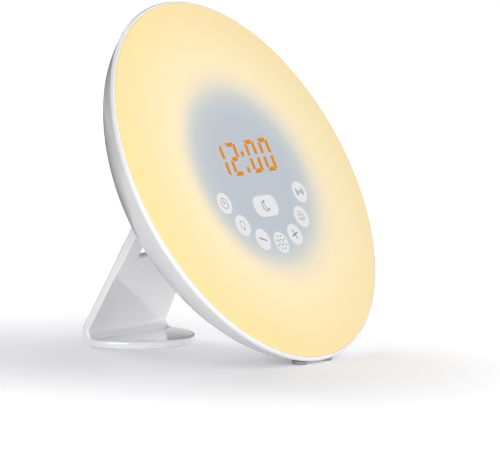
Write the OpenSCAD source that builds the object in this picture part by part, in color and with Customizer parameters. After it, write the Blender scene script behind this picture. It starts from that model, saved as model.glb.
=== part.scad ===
// Sunrise alarm clock: a round lamp that leans back on a plug-in bent stand.
// World frame: the clock faces -Y, +X is to the right of a person facing it, and +Z is up from
// the table.  Most pieces are drawn in the body frame: z points out of the lamp face, y points up
// the face, and z = 0 is the plane of the rim's front edge.

/* [Round body] */
// Diameter of the body at its widest line
rim_d = 200; // [192:1:215]
// Depth of the flat back panel behind the rim's front edge
body_depth = 41; // [39:0.5:45]
// Depth of the widest line behind the rim's front edge
widest_depth = 1.95; // [1.5:0.05:2.1]
// Height of the bowl's crown that the flat back panel cuts off
crown_cut = 4.95; // [4:0.05:6]
// Fullness of the bowl's curve, from a cone at 1 to a drum near 0
bowl_power = 0.69; // [0.6:0.01:0.8]
// Wall of the moulded rear housing
wall = 2.4; // [2:0.1:2.6]
// How far the face leans back from upright, in degrees
lean = 30; // [26:0.5:32]
// Width of the rounding from the widest line to the front edge
lip_round = 0.75; // [0.4:0.05:0.9]

/* [Lamp face] */
// Width of the lip between the widest line and the diffuser
lip_w = 1.7; // [1.5:0.05:2.1]
// How far the middle of the diffuser stands proud of the rim's front edge
face_proud = 4.54; // [3.5:0.02:6]
// How far the diffuser's edge stands proud of the rim's front edge
edge_proud = 0.3; // [0.1:0.1:1]
// Radius of the flat middle of the diffuser
face_flat_r = 46; // [44:0.5:60]
// Fullness of the fall from the flat middle to the edge
face_power = 2.2; // [1.8:0.1:3]
// Wall of the diffuser
face_t = 2.2; // [1.8:0.1:2.6]
// Depth of the ledge that the diffuser's flange sits on
ledge_depth = 2.2; // [2.2:0.1:3]
// Depth of the skirt's end behind the rim's front edge
skirt_depth = 6; // [5:0.1:6.5]
// Distance of the skirt's outer face inside the diffuser's edge
skirt_in = 2.9; // [2.8:0.1:3.6]

/* [Keys and digits] */
// Radius of the arc that the round keys lie on
key_ring_r = 37.2; // [36.5:0.1:38]
// Diameter of a round key
key_d = 11.8; // [9:0.1:13]
// Angle from one key to the next along the arc, in degrees
key_step = 23.6; // [21:0.1:25]
// Width of the snooze key
snooze_w = 20.8; // [16:0.1:24]
// Height of the snooze key
snooze_h = 11.5; // [9:0.1:12]
// Corner radius of the snooze key
snooze_corner = 4.8; // [2:0.1:5]
// Distance of the snooze key below the face's centre
snooze_drop = 16.8; // [16:0.1:18]
// Depth of the key and digit windows in the face
window_t = 0.5; // [0.3:0.05:0.8]
// Height of a digit
digit_h = 18; // [14:0.1:19]
// Distance between the middles of a digit's left and right strokes
digit_w = 6.6; // [5:0.1:7.4]
// Width of a digit's strokes
stroke_w = 2.2; // [1.4:0.05:2.4]
// Gap between the ends of two strokes
stroke_gap = 0.5; // [0.3:0.05:0.8]
// Lean of the digits, in degrees
digit_slant = 3.5; // [0:0.5:6]
// Height of the digits' middle above the face's centre
digit_y = 10.1; // [9.5:0.1:11]

/* [Bent stand] */
// Thickness of the stand's plate
stand_t = 4; // [3:0.1:4.4]
// Width of the stand at the bend
stand_w = 73; // [70:0.5:80]
// How far the upright leans forward from upright, in degrees
stand_lean = 24.5; // [22:0.5:27]
// Taper of each side of the upright, in degrees
stand_taper = 5.2; // [3:0.1:5.5]
// Inside radius of the bend
bend_r = 3.6; // [2.5:0.1:6]
// Length of the foot plate in front of the bend
foot_l = 29; // [24:0.5:34]
// Height up the upright where the notch between the arms starts
notch_start = 40.5; // [34:0.5:46]
// Width of the notch between the arms
notch_w = 38.8; // [34:0.1:39]
// Corner radius of the notch
notch_corner = 2.5; // [1:0.1:4]
// How far the arms' front stands proud of the web
arm_proud = 0.8; // [0.4:0.1:1.2]
// Length of the wedge below the notch over which the arms' front fades into the web
arm_fade = 12.5; // [8:0.5:18]
// Height above the face's centre where the upright enters the back panel
socket_y = 8.7; // [7:0.1:9.5]
// Distance of a tongue's inner side from the middle
tongue_in = 20.5; // [20:0.1:21]
// Width of a tongue
tongue_w = 8.8; // [7:0.1:9.2]
// Length of a tongue inside its socket
tongue_l = 14; // [10:0.5:15]
// Wall of the sockets
socket_wall = 1.8; // [1.2:0.1:2.2]

/* [Rubber feet] */
// Diameter of a rubber foot
foot_d = 8; // [6:0.1:10]
// Distance of each rubber foot from the middle
foot_x = 12; // [9:0.5:16]
// How far the body's lowest line hangs above the table
foot_proud = 0.8; // [0.5:0.05:1.5]
// Distance of each foot's middle behind the body's lowest line
foot_back = 1.5; // [0.5:0.1:2]
// Depth of the recess that each foot is glued in
foot_recess = 0.6; // [0.4:0.05:0.8]

/* [Lamp and display boards] */
// Thickness of the circuit boards
board_t = 1.6; // [1:0.1:1.8]
// Depth of the inner frame's front behind the rim's front edge
frame_depth = 12; // [11.5:0.1:12.5]
// Thickness of the inner frame's plate
frame_t = 2; // [1.6:0.1:2.2]
// Radius of the opening in the middle of the inner frame
frame_hole_r = 32; // [26:0.5:33]
// Inner radius of the shroud around the display
shroud_r = 45; // [44.8:0.1:48]
// Wall of the shroud
shroud_t = 1.5; // [1:0.1:2]
// Depth of the display board's front behind the rim's front edge
display_depth = 5; // [4.5:0.1:5.2]
// Width of the digit module
module_w = 54; // [52:0.5:56]
// Height of the digit module
module_h = 21; // [20:0.5:22]
// Number of light-emitting diodes in each ring
led_count = 16; // [8:1:20]
// Radius of the inner ring of diodes
led_inner_r = 54; // [53:0.5:55]
// Distance of the outer ring of diodes inside the lamp board's edge
led_edge = 7.9; // [4:0.1:16]
// Side of a diode's package
led_side = 3.5; // [2.5:0.1:4]

/* [Speaker] */
// Distance of the speaker below the face's centre
speaker_drop = 16; // [15.5:0.1:17]
// Diameter of the speaker's flange
speaker_d = 39; // [36:0.5:40]
// Height of the speaker from its gasket to its magnet's end
speaker_h = 14; // [12:0.5:15]
// Diameter of the speaker grille
grille_d = 34; // [30:0.5:35]
// Thickness of the speaker grille
grille_t = 1.2; // [0.8:0.1:1.5]
// Diameter of a hole in the grille
grille_hole_d = 2.4; // [1.6:0.1:3]
// Distance between the grille's holes
grille_pitch = 4.2; // [3.6:0.1:4.4]

/* [Back-up battery] */
// Distance of the battery door above the face's centre
door_y = 27; // [26:0.1:28]
// Diameter of the battery door
door_d = 24; // [23:0.1:24.5]
// Thickness of the battery door
door_t = 2.6; // [2.2:0.1:3]
// Reach of the door's two lugs beyond its edge
lug_reach = 1.2; // [0.8:0.1:1.4]
// Thickness of the lugs
lug_t = 1; // [0.8:0.1:1.2]
// Angle that each lug spans, in degrees
lug_span = 24; // [16:1:30]
// Turn that brings the lugs from locked to free, in degrees
door_turn = 45; // [40:1:60]
// Diameter of the coin cell
cell_d = 20; // [19.5:0.1:20.2]
// Height of the coin cell
cell_h = 3.2; // [2:0.1:3.4]

/* [Power inlet] */
// Distance of the inlet to the right of the middle, seen from the front
inlet_x = 26; // [25.5:0.1:26.5]
// Distance of the inlet below the face's centre
inlet_drop = 18; // [17.5:0.1:18.5]
// Bore of the inlet
inlet_bore_d = 5.7; // [5:0.1:6]
// Diameter of the inlet's centre pin
inlet_pin_d = 2; // [1.5:0.1:2.5]
// Diameter of the inlet's nose in the back panel
inlet_nose_d = 8; // [7.5:0.1:8.6]

/* [Screws] */
// Distance of the housing screws inside the body's widest line
screw_inset = 37; // [35:0.5:39]
// Diameter of a housing screw's shank
screw_d = 3; // [2.5:0.1:3.4]
// Diameter of a housing screw's head
screw_head_d = 5.8; // [5:0.1:6.2]
// Height of a housing screw's head
screw_head_h = 2.4; // [1.8:0.1:2.6]
// Diameter of a board screw's shank
small_screw_d = 2; // [1.6:0.1:2.4]
// Diameter of a board screw's head
small_head_d = 3.8; // [3.2:0.1:4.2]
// Height of a board screw's head
small_head_h = 1.4; // [1:0.1:1.8]

/* [Fits] */
// Clearance around the diffuser in the rim
face_fit = 0.15; // [0.1:0.01:0.2]
// Clearance between the skirt and the inner frame
skirt_fit = 0.2; // [0.1:0.05:0.3]
// Clearance around each tongue in its socket
tongue_fit = 0.2; // [0.1:0.05:0.3]
// Clearance around the turning battery door
door_fit = 0.1; // [0.05:0.01:0.15]
// Clearance around the grille, the coin cell and the inlet's nose
seat_fit = 0.1; // [0.05:0.01:0.2]
// Clearance of a screw's shank in the piece that it clamps
shank_fit = 0.25; // [0.1:0.05:0.3]
// Gap left where one inner piece only just meets another
near_gap = 0.25; // [0.1:0.05:0.3]

/* [Hidden] */
$fn = 96;
eps = 0.01;

// The bowl's outside: depth below the widest line falls off as a power of the cosine
rim_r = rim_d / 2;
diffuser_r = rim_r - lip_w;
skirt_r = diffuser_r - skirt_in;
screw_ring_r = rim_r - screw_inset;
bowl_h = body_depth - widest_depth + crown_cut;
panel_angle = acos(pow((body_depth - widest_depth) / bowl_h, 1 / (2 * bowl_power)));
bowl_steps = 22;
panel_r = rim_r * sin(panel_angle);

// A point [radius, depth] of the bowl's skin at angle a from the axis, moved inwards by inset
function bowl_point(a, inset) =
    let(along_r = rim_r * cos(a))
    let(along_d = -bowl_h * 2 * bowl_power * pow(cos(a), 2 * bowl_power - 1) * sin(a))
    let(size = norm([along_r, along_d]))
    [rim_r * sin(a) + inset * along_d / size,
     widest_depth + bowl_h * pow(cos(a), 2 * bowl_power) - inset * along_r / size];

// The skin's points from the widest line to the back panel
function bowl_points(inset) =
    [for (i = [0 : bowl_steps]) bowl_point(89.9 - i * (89.9 - panel_angle) / bowl_steps, inset)];

// The same as [radius, z], ended where it meets the back panel moved inwards by inset
function bowl_outline(inset) =
    let(points = bowl_points(inset))
    let(floor_d = body_depth - inset)
    concat([for (p = points) if (p[1] < floor_d - eps) [p[0], -p[1]]],
        [[bowl_radius(floor_d, inset), -floor_d]]);

// Radius of the skin, moved inwards by inset, at a depth
function bowl_radius(depth, inset) = lookup(depth, [for (p = bowl_points(inset)) [p[1], p[0]]]);

// Height and front reach of the leaning body, worked out from its skin
body_rim = concat(bowl_points(0), [[rim_r - lip_round, 0]]);
function drop_of(p) = p[0] * cos(lean) + p[1] * sin(lean);
rim_drop = max([for (p = body_rim) drop_of(p)]);
lowest = [for (p = body_rim) if (drop_of(p) == rim_drop) p][0];
rim_front = max([for (p = body_rim) p[0] * sin(lean) - p[1] * cos(lean)]);
body_z = rim_drop + foot_proud;

// The stand's bend, found by following the upright down from the back panel to the table
entry_y = socket_y * sin(lean) + body_depth * cos(lean);
entry_z = body_z + socket_y * cos(lean) - body_depth * sin(lean);
bend_mid = bend_r + stand_t / 2;
bend_z = bend_r + stand_t;
stand_reach = (entry_z - bend_mid * sin(stand_lean) - bend_z) / cos(stand_lean);
bend_y = entry_y + stand_reach * sin(stand_lean) - bend_mid * cos(stand_lean);
stand_back = bend_y + bend_r + stand_t;
body_y = (rim_front - stand_back) / 2;
plate_turn = lean + stand_lean;
seam_angle = 0.2;
mouth_run = 8;
tongue_root = 4;

foot_taper = 0.5;
foot_h = 3.4;

// Face and key places
front_z = face_proud;
inner_face_z = face_proud - face_t;
key_angles = [for (i = [-3 : 3]) i * key_step];
digit_x = [-21.8, -9.2, 8.2, 20.8];
colon_x = -0.8;
colon_y = [2.1, -6.6];
colon_w = 2.4;
colon_h = 2.7;
// Corner cuts of the strokes: a tall stroke's tip, the slope of the ends and a hair of thinning
stroke_tip = 0.9;
stroke_slope = 0.5;
stroke_thin = 0.1;
// Which strokes of each digit are lit: top, top right, low right, bottom, low left, top left, middle
digit_lit = [[0, 1, 1, 0, 0, 0, 0], [1, 1, 0, 1, 1, 0, 1], [1, 1, 1, 1, 1, 1, 0], [1, 1, 1, 1, 1, 1, 0]];

// Inner frame, boards and their fixings
skirt_t = 2;
frame_r = skirt_r - skirt_t - skirt_fit;
frame_wall = 1.8;
frame_wall_top = 4;
frame_back = frame_depth + frame_t;
flange_depth = skirt_depth + 1.5;
flange_r = bowl_radius(flange_depth, wall + near_gap);
plate_r = bowl_radius(frame_back, wall + near_gap);
boss_wall = 1.9;
boss_r = screw_head_d / 2 + boss_wall;
boss_back = 28;
frame_boss_wall = 2.1;
frame_boss_r = screw_d / 2 + frame_boss_wall;
frame_boss_h = 7;
boss_cap = 1.5;
screw_angles = [45, 135, 225, 315];
control_r = shroud_r - 0.5;
control_post_r = 2.9;
control_bite = 4;
control_holes = [[31.5, 22], [-31.5, 22], [0, -27]];
main_depth = 17;
main_size = [84, 62];
main_hole_in = 4;
main_holes = [for (x = [-1, 1]) for (y = [-1, 1])
    [x * (main_size[0] / 2 - main_hole_in), y * (main_size[1] / 2 - main_hole_in)]];
main_back = main_depth + board_t;
main_post_r = 3;
pilot_depth = 8;
// Chips on the display board as [x, y, width, height], and the one on the main board
chip_t = 1.5;
control_chip_places = [[-17, -6, 10, 10], [15, -8, 7, 5], [0, 16, 12, 5]];
main_chip_side = 14;
main_chip_place = [-14, main_size[1] / 2 - main_chip_side + 1];
// Capacitors as [x, y, radius], and the inductor's two flanges round its core
capacitor_places = [[-30, 14, 5], [-30, 2, 4], [26, 22, 3]];
inductor_place = [14, main_size[1] / 2 - 11];
inductor_r = 5;
inductor_core_r = 3.6;
inductor_h = 4.5;
inductor_flange_t = 1;
connector_size = [7.5, 5];
connector_h = 5;
pad_d = 8.4;
lamp_in_r = shroud_r + shroud_t + 1.5;
lamp_out_r = plate_r - frame_wall - 0.5;
led_outer_r = lamp_out_r - led_edge;
led_h = 1.2;
inner_floor = body_depth - wall;
socket_room = 14;
capacitor_h = inner_floor - main_back - socket_room;

// Speaker
gasket_t = 0.7;
flange_t = 1.2;
magnet_r = 11;
magnet_h = 6;
cone_t = 0.5;
ear_reach = 22.5;
ear_r = 3;
speaker_floor = inner_floor - gasket_t;
speaker_top = inner_floor - speaker_h;
grille_rings = 3;

// Battery bay
lug_in = body_depth - door_t;
lug_fit = 0.15;
notch_spare = 6;
groove_r = door_d / 2 + lug_reach + lug_fit;
cup_wall = 1.8;
cup_r = groove_r + cup_wall;
cell_r = cell_d / 2;
cell_floor = lug_in - near_gap - cell_h;
contact_t = 0.5;
cup_back = cell_floor - contact_t;
cup_floor_t = 1.4;
coin_slot = [10, 1.8, 1];

// Inlet
jack_w = 9;
jack_l = 11;
inlet_depth = 9.5;

// Leads: each pair runs from its socket on the main board
lead_r = 0.6;
lead_gap = 2.4;
lead_top = main_back + connector_h;
dc_plug = [30, 4];
lamp_lead_x = 12 - main_size[0] / 2;
lamp_plug = [lamp_lead_x, -20];
speaker_plug = [2, 2];
battery_plug = [-7, 2];
battery_lead_x = -4;
lamp_lead_end = [lamp_lead_x, -49];
cable_y = 6;
cable_w = 13;
cable_t = 0.4;
cable_socket_size = [16, 4];
cable_socket_h = 2;

// ---- placing modules -------------------------------------------------------------------------

module at_body() {
    translate([0, body_y, body_z]) rotate([90 - lean, 0, 0]) children();
}

// x across, y up the upright, z out of its front; the origin is where the front leaves the bend
module at_plate() {
    translate([0, body_y + bend_y + bend_r * cos(stand_lean), bend_z + bend_r * sin(stand_lean)])
        rotate([90 + stand_lean, 0, 0]) children();
}

// The same frame as at_plate, seen from inside at_body
module plate_in_body() {
    translate([0, socket_y, -body_depth]) rotate([plate_turn, 0, 0])
        translate([0, -stand_reach, stand_t / 2]) children();
}

// An upright bar of the given radius between two depths behind the rim's front edge
module bar(r, near, far) {
    translate([0, 0, -far]) cylinder(r = r, h = far - near);
}

module at_keys() {
    for (a = key_angles) translate([key_ring_r * sin(a), -key_ring_r * cos(a), 0]) children();
}

module on_ring(r, angles) {
    for (a = angles) rotate([0, 0, a]) translate([r, 0, 0]) children();
}

module rounded_bar_2d(w, h, r) {
    square([w - 2 * r, h], center = true);
    square([w, h - 2 * r], center = true);
    for (x = [-1, 1]) for (y = [-1, 1]) translate([x * (w / 2 - r), y * (h / 2 - r)]) circle(r = r);
}

// ---- the round body --------------------------------------------------------------------------

module bowl_solid(inset) {
    rotate_extrude($fn = 360)
        polygon(concat([[0, 0], [rim_r - inset, 0]], bowl_outline(inset), [[0, inset - body_depth]]));
}

function lip_points() =
    [for (t = [90 : -22.5 : 0]) [rim_r - lip_round * (1 - cos(t)), -widest_depth * (1 - sin(t))]];

module housing_shell() {
    inner = [for (p = bowl_outline(wall)) if (-p[1] > ledge_depth + eps) p];
    inner_r = bowl_radius(ledge_depth, wall);
    back = [for (i = [len(inner) - 1 : -1 : 0]) inner[i]];
    rotate_extrude($fn = 360)
        polygon(concat([[diffuser_r + face_fit, 0]], lip_points(), bowl_outline(0), [[0, -body_depth]],
            [[0, -inner_floor]], back, [[inner_r, -ledge_depth], [diffuser_r + face_fit, -ledge_depth]]));
}

// The space that a tongue needs, widened by a clearance, with its mouth run on outwards
module tongue_space(fit, out, in) {
    for (side = [-1, 1]) plate_in_body()
        translate([side * (tongue_in + tongue_w / 2), stand_reach + (in - out) / 2, -stand_t / 2])
            cube([tongue_w + 2 * fit, in + out, stand_t + 2 * fit], center = true);
}

module housing_insides() {
    on_ring(screw_ring_r, screw_angles) bar(boss_r, frame_back, body_depth);
    for (p = main_holes) translate(p) bar(main_post_r, main_back, body_depth);
    for (y = [-ear_reach, ear_reach]) translate([0, y - speaker_drop])
        bar(ear_r - 0.4, speaker_floor, body_depth);
    tongue_space(socket_wall + tongue_fit, mouth_run, tongue_l + socket_wall + tongue_fit);
    translate([0, door_y]) bar(cup_r, cup_back - cup_floor_t, body_depth);
}

module door_bay() {
    translate([0, door_y]) {
        bar(door_d / 2 + door_fit, lug_in - near_gap, body_depth + eps);
        bar(groove_r, lug_in - near_gap, lug_in + lug_t + door_fit);
        bar(cell_r + seat_fit, cup_back, body_depth);
        for (a = [0, 180]) rotate([0, 0, a - door_turn])
            intersection() {
                bar(groove_r, lug_in, body_depth + eps);
                lug_wedge(lug_span + notch_spare);
            }
    }
}

module lug_wedge(span) {
    reach = 2 * door_d;
    translate([0, 0, -body_depth - eps]) linear_extrude(height = body_depth)
        polygon([[0, 0], [reach, -reach * tan(span / 2)], [reach, reach * tan(span / 2)]]);
}

// A rubber foot before the bowl's skin trims its top
module foot_blank(fit) {
    foot_y = body_y - lowest[0] * sin(lean) + lowest[1] * cos(lean) + foot_back;
    for (x = [-foot_x, foot_x]) translate([x, foot_y])
        cylinder(r1 = foot_d / 2 - foot_taper + fit, r2 = foot_d / 2 + fit, h = foot_h);
}

module rear_housing() {
    color("white") difference() {
        at_body() difference() {
            union() {
                housing_shell();
                intersection() {
                    housing_insides();
                    bowl_solid(wall / 2);
                }
            }
            tongue_space(tongue_fit, mouth_run, tongue_l + tongue_fit);
            door_bay();
            on_ring(screw_ring_r, screw_angles) {
                bar(screw_d / 2 + shank_fit, frame_back - eps, body_depth);
                bar(screw_head_d / 2 + shank_fit, boss_back, body_depth);
            }
            for (p = main_holes) translate(p)
                bar(small_screw_d / 2, main_back - eps, main_back + pilot_depth);
            for (y = [-ear_reach, ear_reach]) translate([0, y - speaker_drop])
                bar(small_screw_d / 2, speaker_floor - flange_t - eps, inner_floor);
            translate([0, -speaker_drop]) {
                bar(grille_d / 2 + seat_fit, body_depth - grille_t, body_depth + eps);
                bar(grille_d / 2 - 1.5, inner_floor - eps, body_depth);
            }
            translate([inlet_x, -inlet_drop])
                bar(inlet_nose_d / 2 + seat_fit, inner_floor - eps, body_depth + eps);
            for (x = [-0.5, 0.5]) translate([battery_lead_x + x * lead_gap, door_y])
                bar(lead_r + near_gap, cup_back - cup_floor_t - 1, cup_back + eps);
        }
        difference() {
            foot_blank(0.05);
            at_body() bowl_solid(foot_recess);
        }
    }
}

module front_feet() {
    color("dimgray") difference() {
        foot_blank(0);
        at_body() bowl_solid(foot_recess);
    }
}

// ---- the lamp face ---------------------------------------------------------------------------

// Height of the diffuser's front at radius r
function face_z(r) =
    let(out = max(0, r - face_flat_r) / (diffuser_r - face_flat_r))
    face_proud - (face_proud - edge_proud) * pow(out, face_power);

module front_diffuser() {
    face_steps = 16;
    skirt_inner_r = skirt_r - skirt_t;
    front = [for (i = [0 : face_steps]) face_flat_r + i * (diffuser_r - face_flat_r) / face_steps];
    behind = [for (i = [face_steps : -1 : 0]) face_flat_r + i * (skirt_inner_r - face_flat_r) / face_steps];
    color("moccasin") at_body() difference() {
        rotate_extrude($fn = 180)
            polygon(concat([[0, front_z]], [for (r = front) [r, face_z(r)]], [[diffuser_r, -ledge_depth]],
                [[skirt_r, -ledge_depth], [skirt_r, -skirt_depth], [skirt_inner_r, -skirt_depth]],
                [for (r = behind) [r, face_z(r) - face_t]], [[0, inner_face_z]]));
        round_key_windows();
        snooze_window();
        for (d = [0 : 3]) digit_strokes(d, 1);
        for (d = [0 : 3]) digit_strokes(d, 0);
        colon_dots();
    }
}

// Solids of the windows, from the face's front down to their depth
module window() {
    translate([0, 0, front_z - window_t]) linear_extrude(height = window_t) children();
}

module round_key_windows() {
    window() at_keys() circle(d = key_d);
}

module snooze_window() {
    window() translate([0, -snooze_drop]) rounded_bar_2d(snooze_w, snooze_h, snooze_corner);
}

// One stroke of a digit about the digit's own middle, 0 to 6 in the order of digit_lit
module stroke_2d(i) {
    top = digit_h / 2;
    out = (digit_w + stroke_w) / 2;
    in = (digit_w - stroke_w) / 2;
    cut = stroke_w - stroke_gap / 2;
    mid = stroke_w / 2 - stroke_tip / 2 + stroke_thin;
    low = top - stroke_w + stroke_thin;
    flat = [[-out + stroke_slope, top], [out - 3 * stroke_slope, top], [in - stroke_slope, low],
        [stroke_thin - in, low]];
    tall = [[out, mid], [in, mid + stroke_slope], [in, top - cut - 2 * stroke_thin],
        [out - stroke_tip, top - stroke_tip], [out, top - stroke_tip]];
    short = [[-out, mid], [-in, mid + stroke_slope], [-in, top - cut - stroke_gap], [-out, top - cut]];
    if (i == 0) polygon(flat);
    if (i == 1) polygon(tall);
    if (i == 2) mirror([0, 1]) polygon(tall);
    if (i == 3) mirror([0, 1]) polygon(flat);
    if (i == 4) mirror([0, 1]) polygon(short);
    if (i == 5) polygon(short);
    if (i == 6)
        rounded_bar_2d(2 * in + stroke_slope, stroke_w - 2 * stroke_thin, stroke_w / 2 - stroke_thin - eps);
}

// The slant as a shear along x
module slanted() {
    multmatrix([[1, tan(digit_slant), 0, 0], [0, 1, 0, 0], [0, 0, 1, 0], [0, 0, 0, 1]]) children();
}

module digit_strokes(digit, lit) {
    window() translate([digit_x[digit], digit_y]) slanted()
        for (i = [0 : 6]) if (digit_lit[digit][i] == lit) stroke_2d(i);
}

module colon_dots() {
    window() translate([colon_x, digit_y]) slanted()
        for (y = colon_y) translate([0, y]) square([colon_w, colon_h], center = true);
}

module touch_keys() {
    color("whitesmoke") at_body() round_key_windows();
}

module snooze_key() {
    color("whitesmoke") at_body() snooze_window();
}

module lit_segments() {
    color("darkorange") at_body() {
        for (d = [0 : 3]) digit_strokes(d, 1);
        colon_dots();
    }
}

module unlit_segments() {
    color("thistle") at_body() for (d = [0 : 3]) digit_strokes(d, 0);
}

// ---- display and touch board -----------------------------------------------------------------

module display_module() {
    color("dimgray") at_body() translate([0, digit_y, (inner_face_z - near_gap - display_depth) / 2])
        cube([module_w, module_h, inner_face_z - near_gap + display_depth], center = true);
}

module touch_pads() {
    color("darkslategray") at_body() {
        at_keys() bar(pad_d / 2, near_gap - inner_face_z, display_depth);
        translate([0, -snooze_drop]) bar(pad_d / 2, near_gap - inner_face_z, display_depth);
    }
}

module control_board() {
    color("darkgreen") at_body() difference() {
        bar(control_r, display_depth, display_depth + board_t);
        for (p = control_holes) translate(p)
            bar(small_screw_d / 2 + shank_fit, display_depth - 1, display_depth + board_t + 1);
    }
}

module control_chips() {
    back = display_depth + board_t;
    color("#202224") at_body() for (c = control_chip_places)
        translate([c[0], c[1], -back - chip_t / 2]) cube([c[2], c[3], chip_t], center = true);
}

module small_screw(near, length) {
    bar(small_head_d / 2, near - small_head_h, near);
    bar(small_screw_d / 2, near - eps, near + length);
}

module control_screws() {
    color("silver") at_body() for (p = control_holes) translate(p)
        small_screw(display_depth, board_t + control_bite);
}

module light_shroud() {
    color("white") at_body() difference() {
        bar(shroud_r + shroud_t, near_gap - inner_face_z, frame_depth);
        bar(shroud_r, -face_proud, frame_depth + 1);
    }
}

// ---- lamp board and inner frame --------------------------------------------------------------

module lamp_board() {
    color("ghostwhite") at_body() difference() {
        bar(lamp_out_r, frame_depth - board_t, frame_depth);
        bar(lamp_in_r, 0, body_depth);
        on_ring(screw_ring_r, screw_angles) bar(frame_boss_r + 0.5, 0, body_depth);
    }
}

module lamp_leds() {
    front = frame_depth - board_t;
    ring = [for (i = [0 : led_count - 1]) (i + 0.5) * 360 / led_count];
    color("khaki") at_body() for (r = [led_inner_r, led_outer_r])
        on_ring(r, ring) translate([0, 0, led_h / 2 - front])
            cube([led_side, led_side, led_h], center = true);
}

module inner_frame() {
    color("white") at_body() difference() {
        union() {
            frame_shell();
            on_ring(screw_ring_r, screw_angles)
                bar(frame_boss_r, frame_depth - frame_boss_h, frame_depth + eps);
            for (p = control_holes) translate(p) bar(control_post_r, display_depth + board_t, frame_back);
            frame_bridge();
        }
        on_ring(screw_ring_r, screw_angles)
            bar(screw_d / 2, frame_depth - frame_boss_h + boss_cap, frame_back + eps);
        for (p = control_holes) translate(p)
            bar(small_screw_d / 2, display_depth, display_depth + board_t + control_bite + 1);
        for (x = [-0.5, 0.5]) translate([lamp_lead_end[0] + x * lead_gap, lamp_lead_end[1]])
            bar(lead_r + near_gap, frame_depth - 1, frame_back + 1);
    }
}

// A tray whose sloping edge follows the bowl, with a flange under the diffuser's skirt
module frame_shell() {
    rotate_extrude($fn = 180)
        polygon([[frame_hole_r, -frame_depth], [plate_r - frame_wall, -frame_depth],
            [frame_r - frame_wall, -flange_depth], [frame_r - frame_wall, -frame_wall_top],
            [frame_r, -frame_wall_top], [frame_r, -skirt_depth], [flange_r, -skirt_depth],
            [flange_r, -flange_depth], [plate_r, -frame_back], [frame_hole_r, -frame_back]]);
}

// The strut that carries the lower display post across the frame's opening
module frame_bridge() {
    translate([-control_post_r, -frame_hole_r - 4, -frame_back])
        cube([2 * control_post_r, frame_hole_r + 4 + control_holes[2][1], frame_t]);
}

// ---- main board ------------------------------------------------------------------------------

module main_board() {
    color("darkgreen") at_body() difference() {
        translate([0, 0, -main_depth - board_t / 2])
            cube([main_size[0], main_size[1], board_t], center = true);
        for (p = main_holes) translate(p) bar(small_screw_d / 2 + shank_fit, main_depth - 1, main_back + 1);
    }
}

module main_chip() {
    color("#202224") at_body() translate([main_chip_place[0], main_chip_place[1], -main_back - chip_t / 2])
        cube([main_chip_side, main_chip_side, chip_t], center = true);
}

module main_capacitors() {
    color("midnightblue") at_body() for (p = capacitor_places)
        translate([p[0], p[1]]) bar(p[2], main_back, main_back + capacitor_h);
}

module power_inductor() {
    far = main_back + inductor_h;
    color("#3a3a3c") at_body() translate(inductor_place) {
        bar(inductor_r, main_back, main_back + inductor_flange_t);
        bar(inductor_core_r, main_back + inductor_flange_t, far - inductor_flange_t);
        bar(inductor_r, far - inductor_flange_t, far);
    }
}

// White sockets on the boards for the four pairs of leads and the display's cable
module board_connectors() {
    color("ivory") at_body() {
        for (p = [dc_plug, lamp_plug, speaker_plug, battery_plug])
            translate([p[0], p[1], -lead_top + connector_h / 2])
                cube([connector_size[0], connector_size[1], connector_h], center = true);
        for (z = [cable_socket_h / 2 - main_depth, -display_depth - board_t - cable_socket_h / 2])
            translate([0, cable_y, z])
                cube([cable_socket_size[0], cable_socket_size[1], cable_socket_h], center = true);
    }
}

module board_screws() {
    color("silver") at_body() for (p = main_holes) translate(p)
        small_screw(main_depth, board_t + pilot_depth - 2);
}

// Flat cable between the two boards, held in a socket at each end
module display_cable() {
    top = display_depth + board_t + cable_socket_h;
    low = main_depth - cable_socket_h;
    color("gainsboro") at_body() translate([0, cable_y, -(low + top) / 2])
        cube([cable_w, cable_t, low - top], center = true);
}

// ---- speaker ---------------------------------------------------------------------------------

module at_speaker() {
    at_body() translate([0, -speaker_drop]) children();
}

module speaker_gasket() {
    color("#303030") at_speaker() difference() {
        bar(speaker_d / 2, speaker_floor, inner_floor);
        bar(grille_d / 2 - 0.5, speaker_floor - 1, inner_floor + 1);
    }
}

module speaker_frame() {
    near = speaker_floor - flange_t;
    cup = speaker_top + magnet_h;
    color("silver") at_speaker() difference() {
        union() {
            bar(speaker_d / 2, near, speaker_floor);
            for (y = [-ear_reach, ear_reach]) translate([0, y]) bar(ear_r, near, speaker_floor);
            for (s = [-1, 1]) translate([-ear_r, s > 0 ? 0 : -ear_reach, -speaker_floor])
                cube([2 * ear_r, ear_reach, flange_t]);
            translate([0, 0, -near]) cylinder(r1 = grille_d / 2 + 1, r2 = magnet_r + 1, h = near - cup);
        }
        translate([0, 0, -near - eps]) cylinder(r1 = grille_d / 2, r2 = magnet_r, h = near - cup - 1 + eps);
        bar(grille_d / 2, near - eps, speaker_floor + eps);
        for (y = [-ear_reach, ear_reach]) translate([0, y])
            bar(small_screw_d / 2 + shank_fit, near - 1, speaker_floor + 1);
    }
}

module speaker_cone() {
    rim = speaker_floor - flange_t;
    cup = speaker_top + magnet_h + 2;
    outer = grille_d / 2 - 0.2;
    inner = magnet_r - 4;
    color("#2a2a2c") at_speaker() rotate_extrude()
        polygon([[0, -cup], [inner, -cup - 1], [outer - 3, -rim + 0.3], [outer, -rim],
            [outer, -rim - cone_t], [outer - 3, -rim + 0.3 - cone_t],
            [inner, -cup - 1 - cone_t], [0, -cup - cone_t]]);
}

module speaker_magnet() {
    color("#55565a") at_speaker() {
        bar(magnet_r, speaker_top, speaker_top + magnet_h - 1);
        bar(magnet_r - 1, speaker_top + magnet_h - 1 - eps, speaker_top + magnet_h);
    }
}

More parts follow.
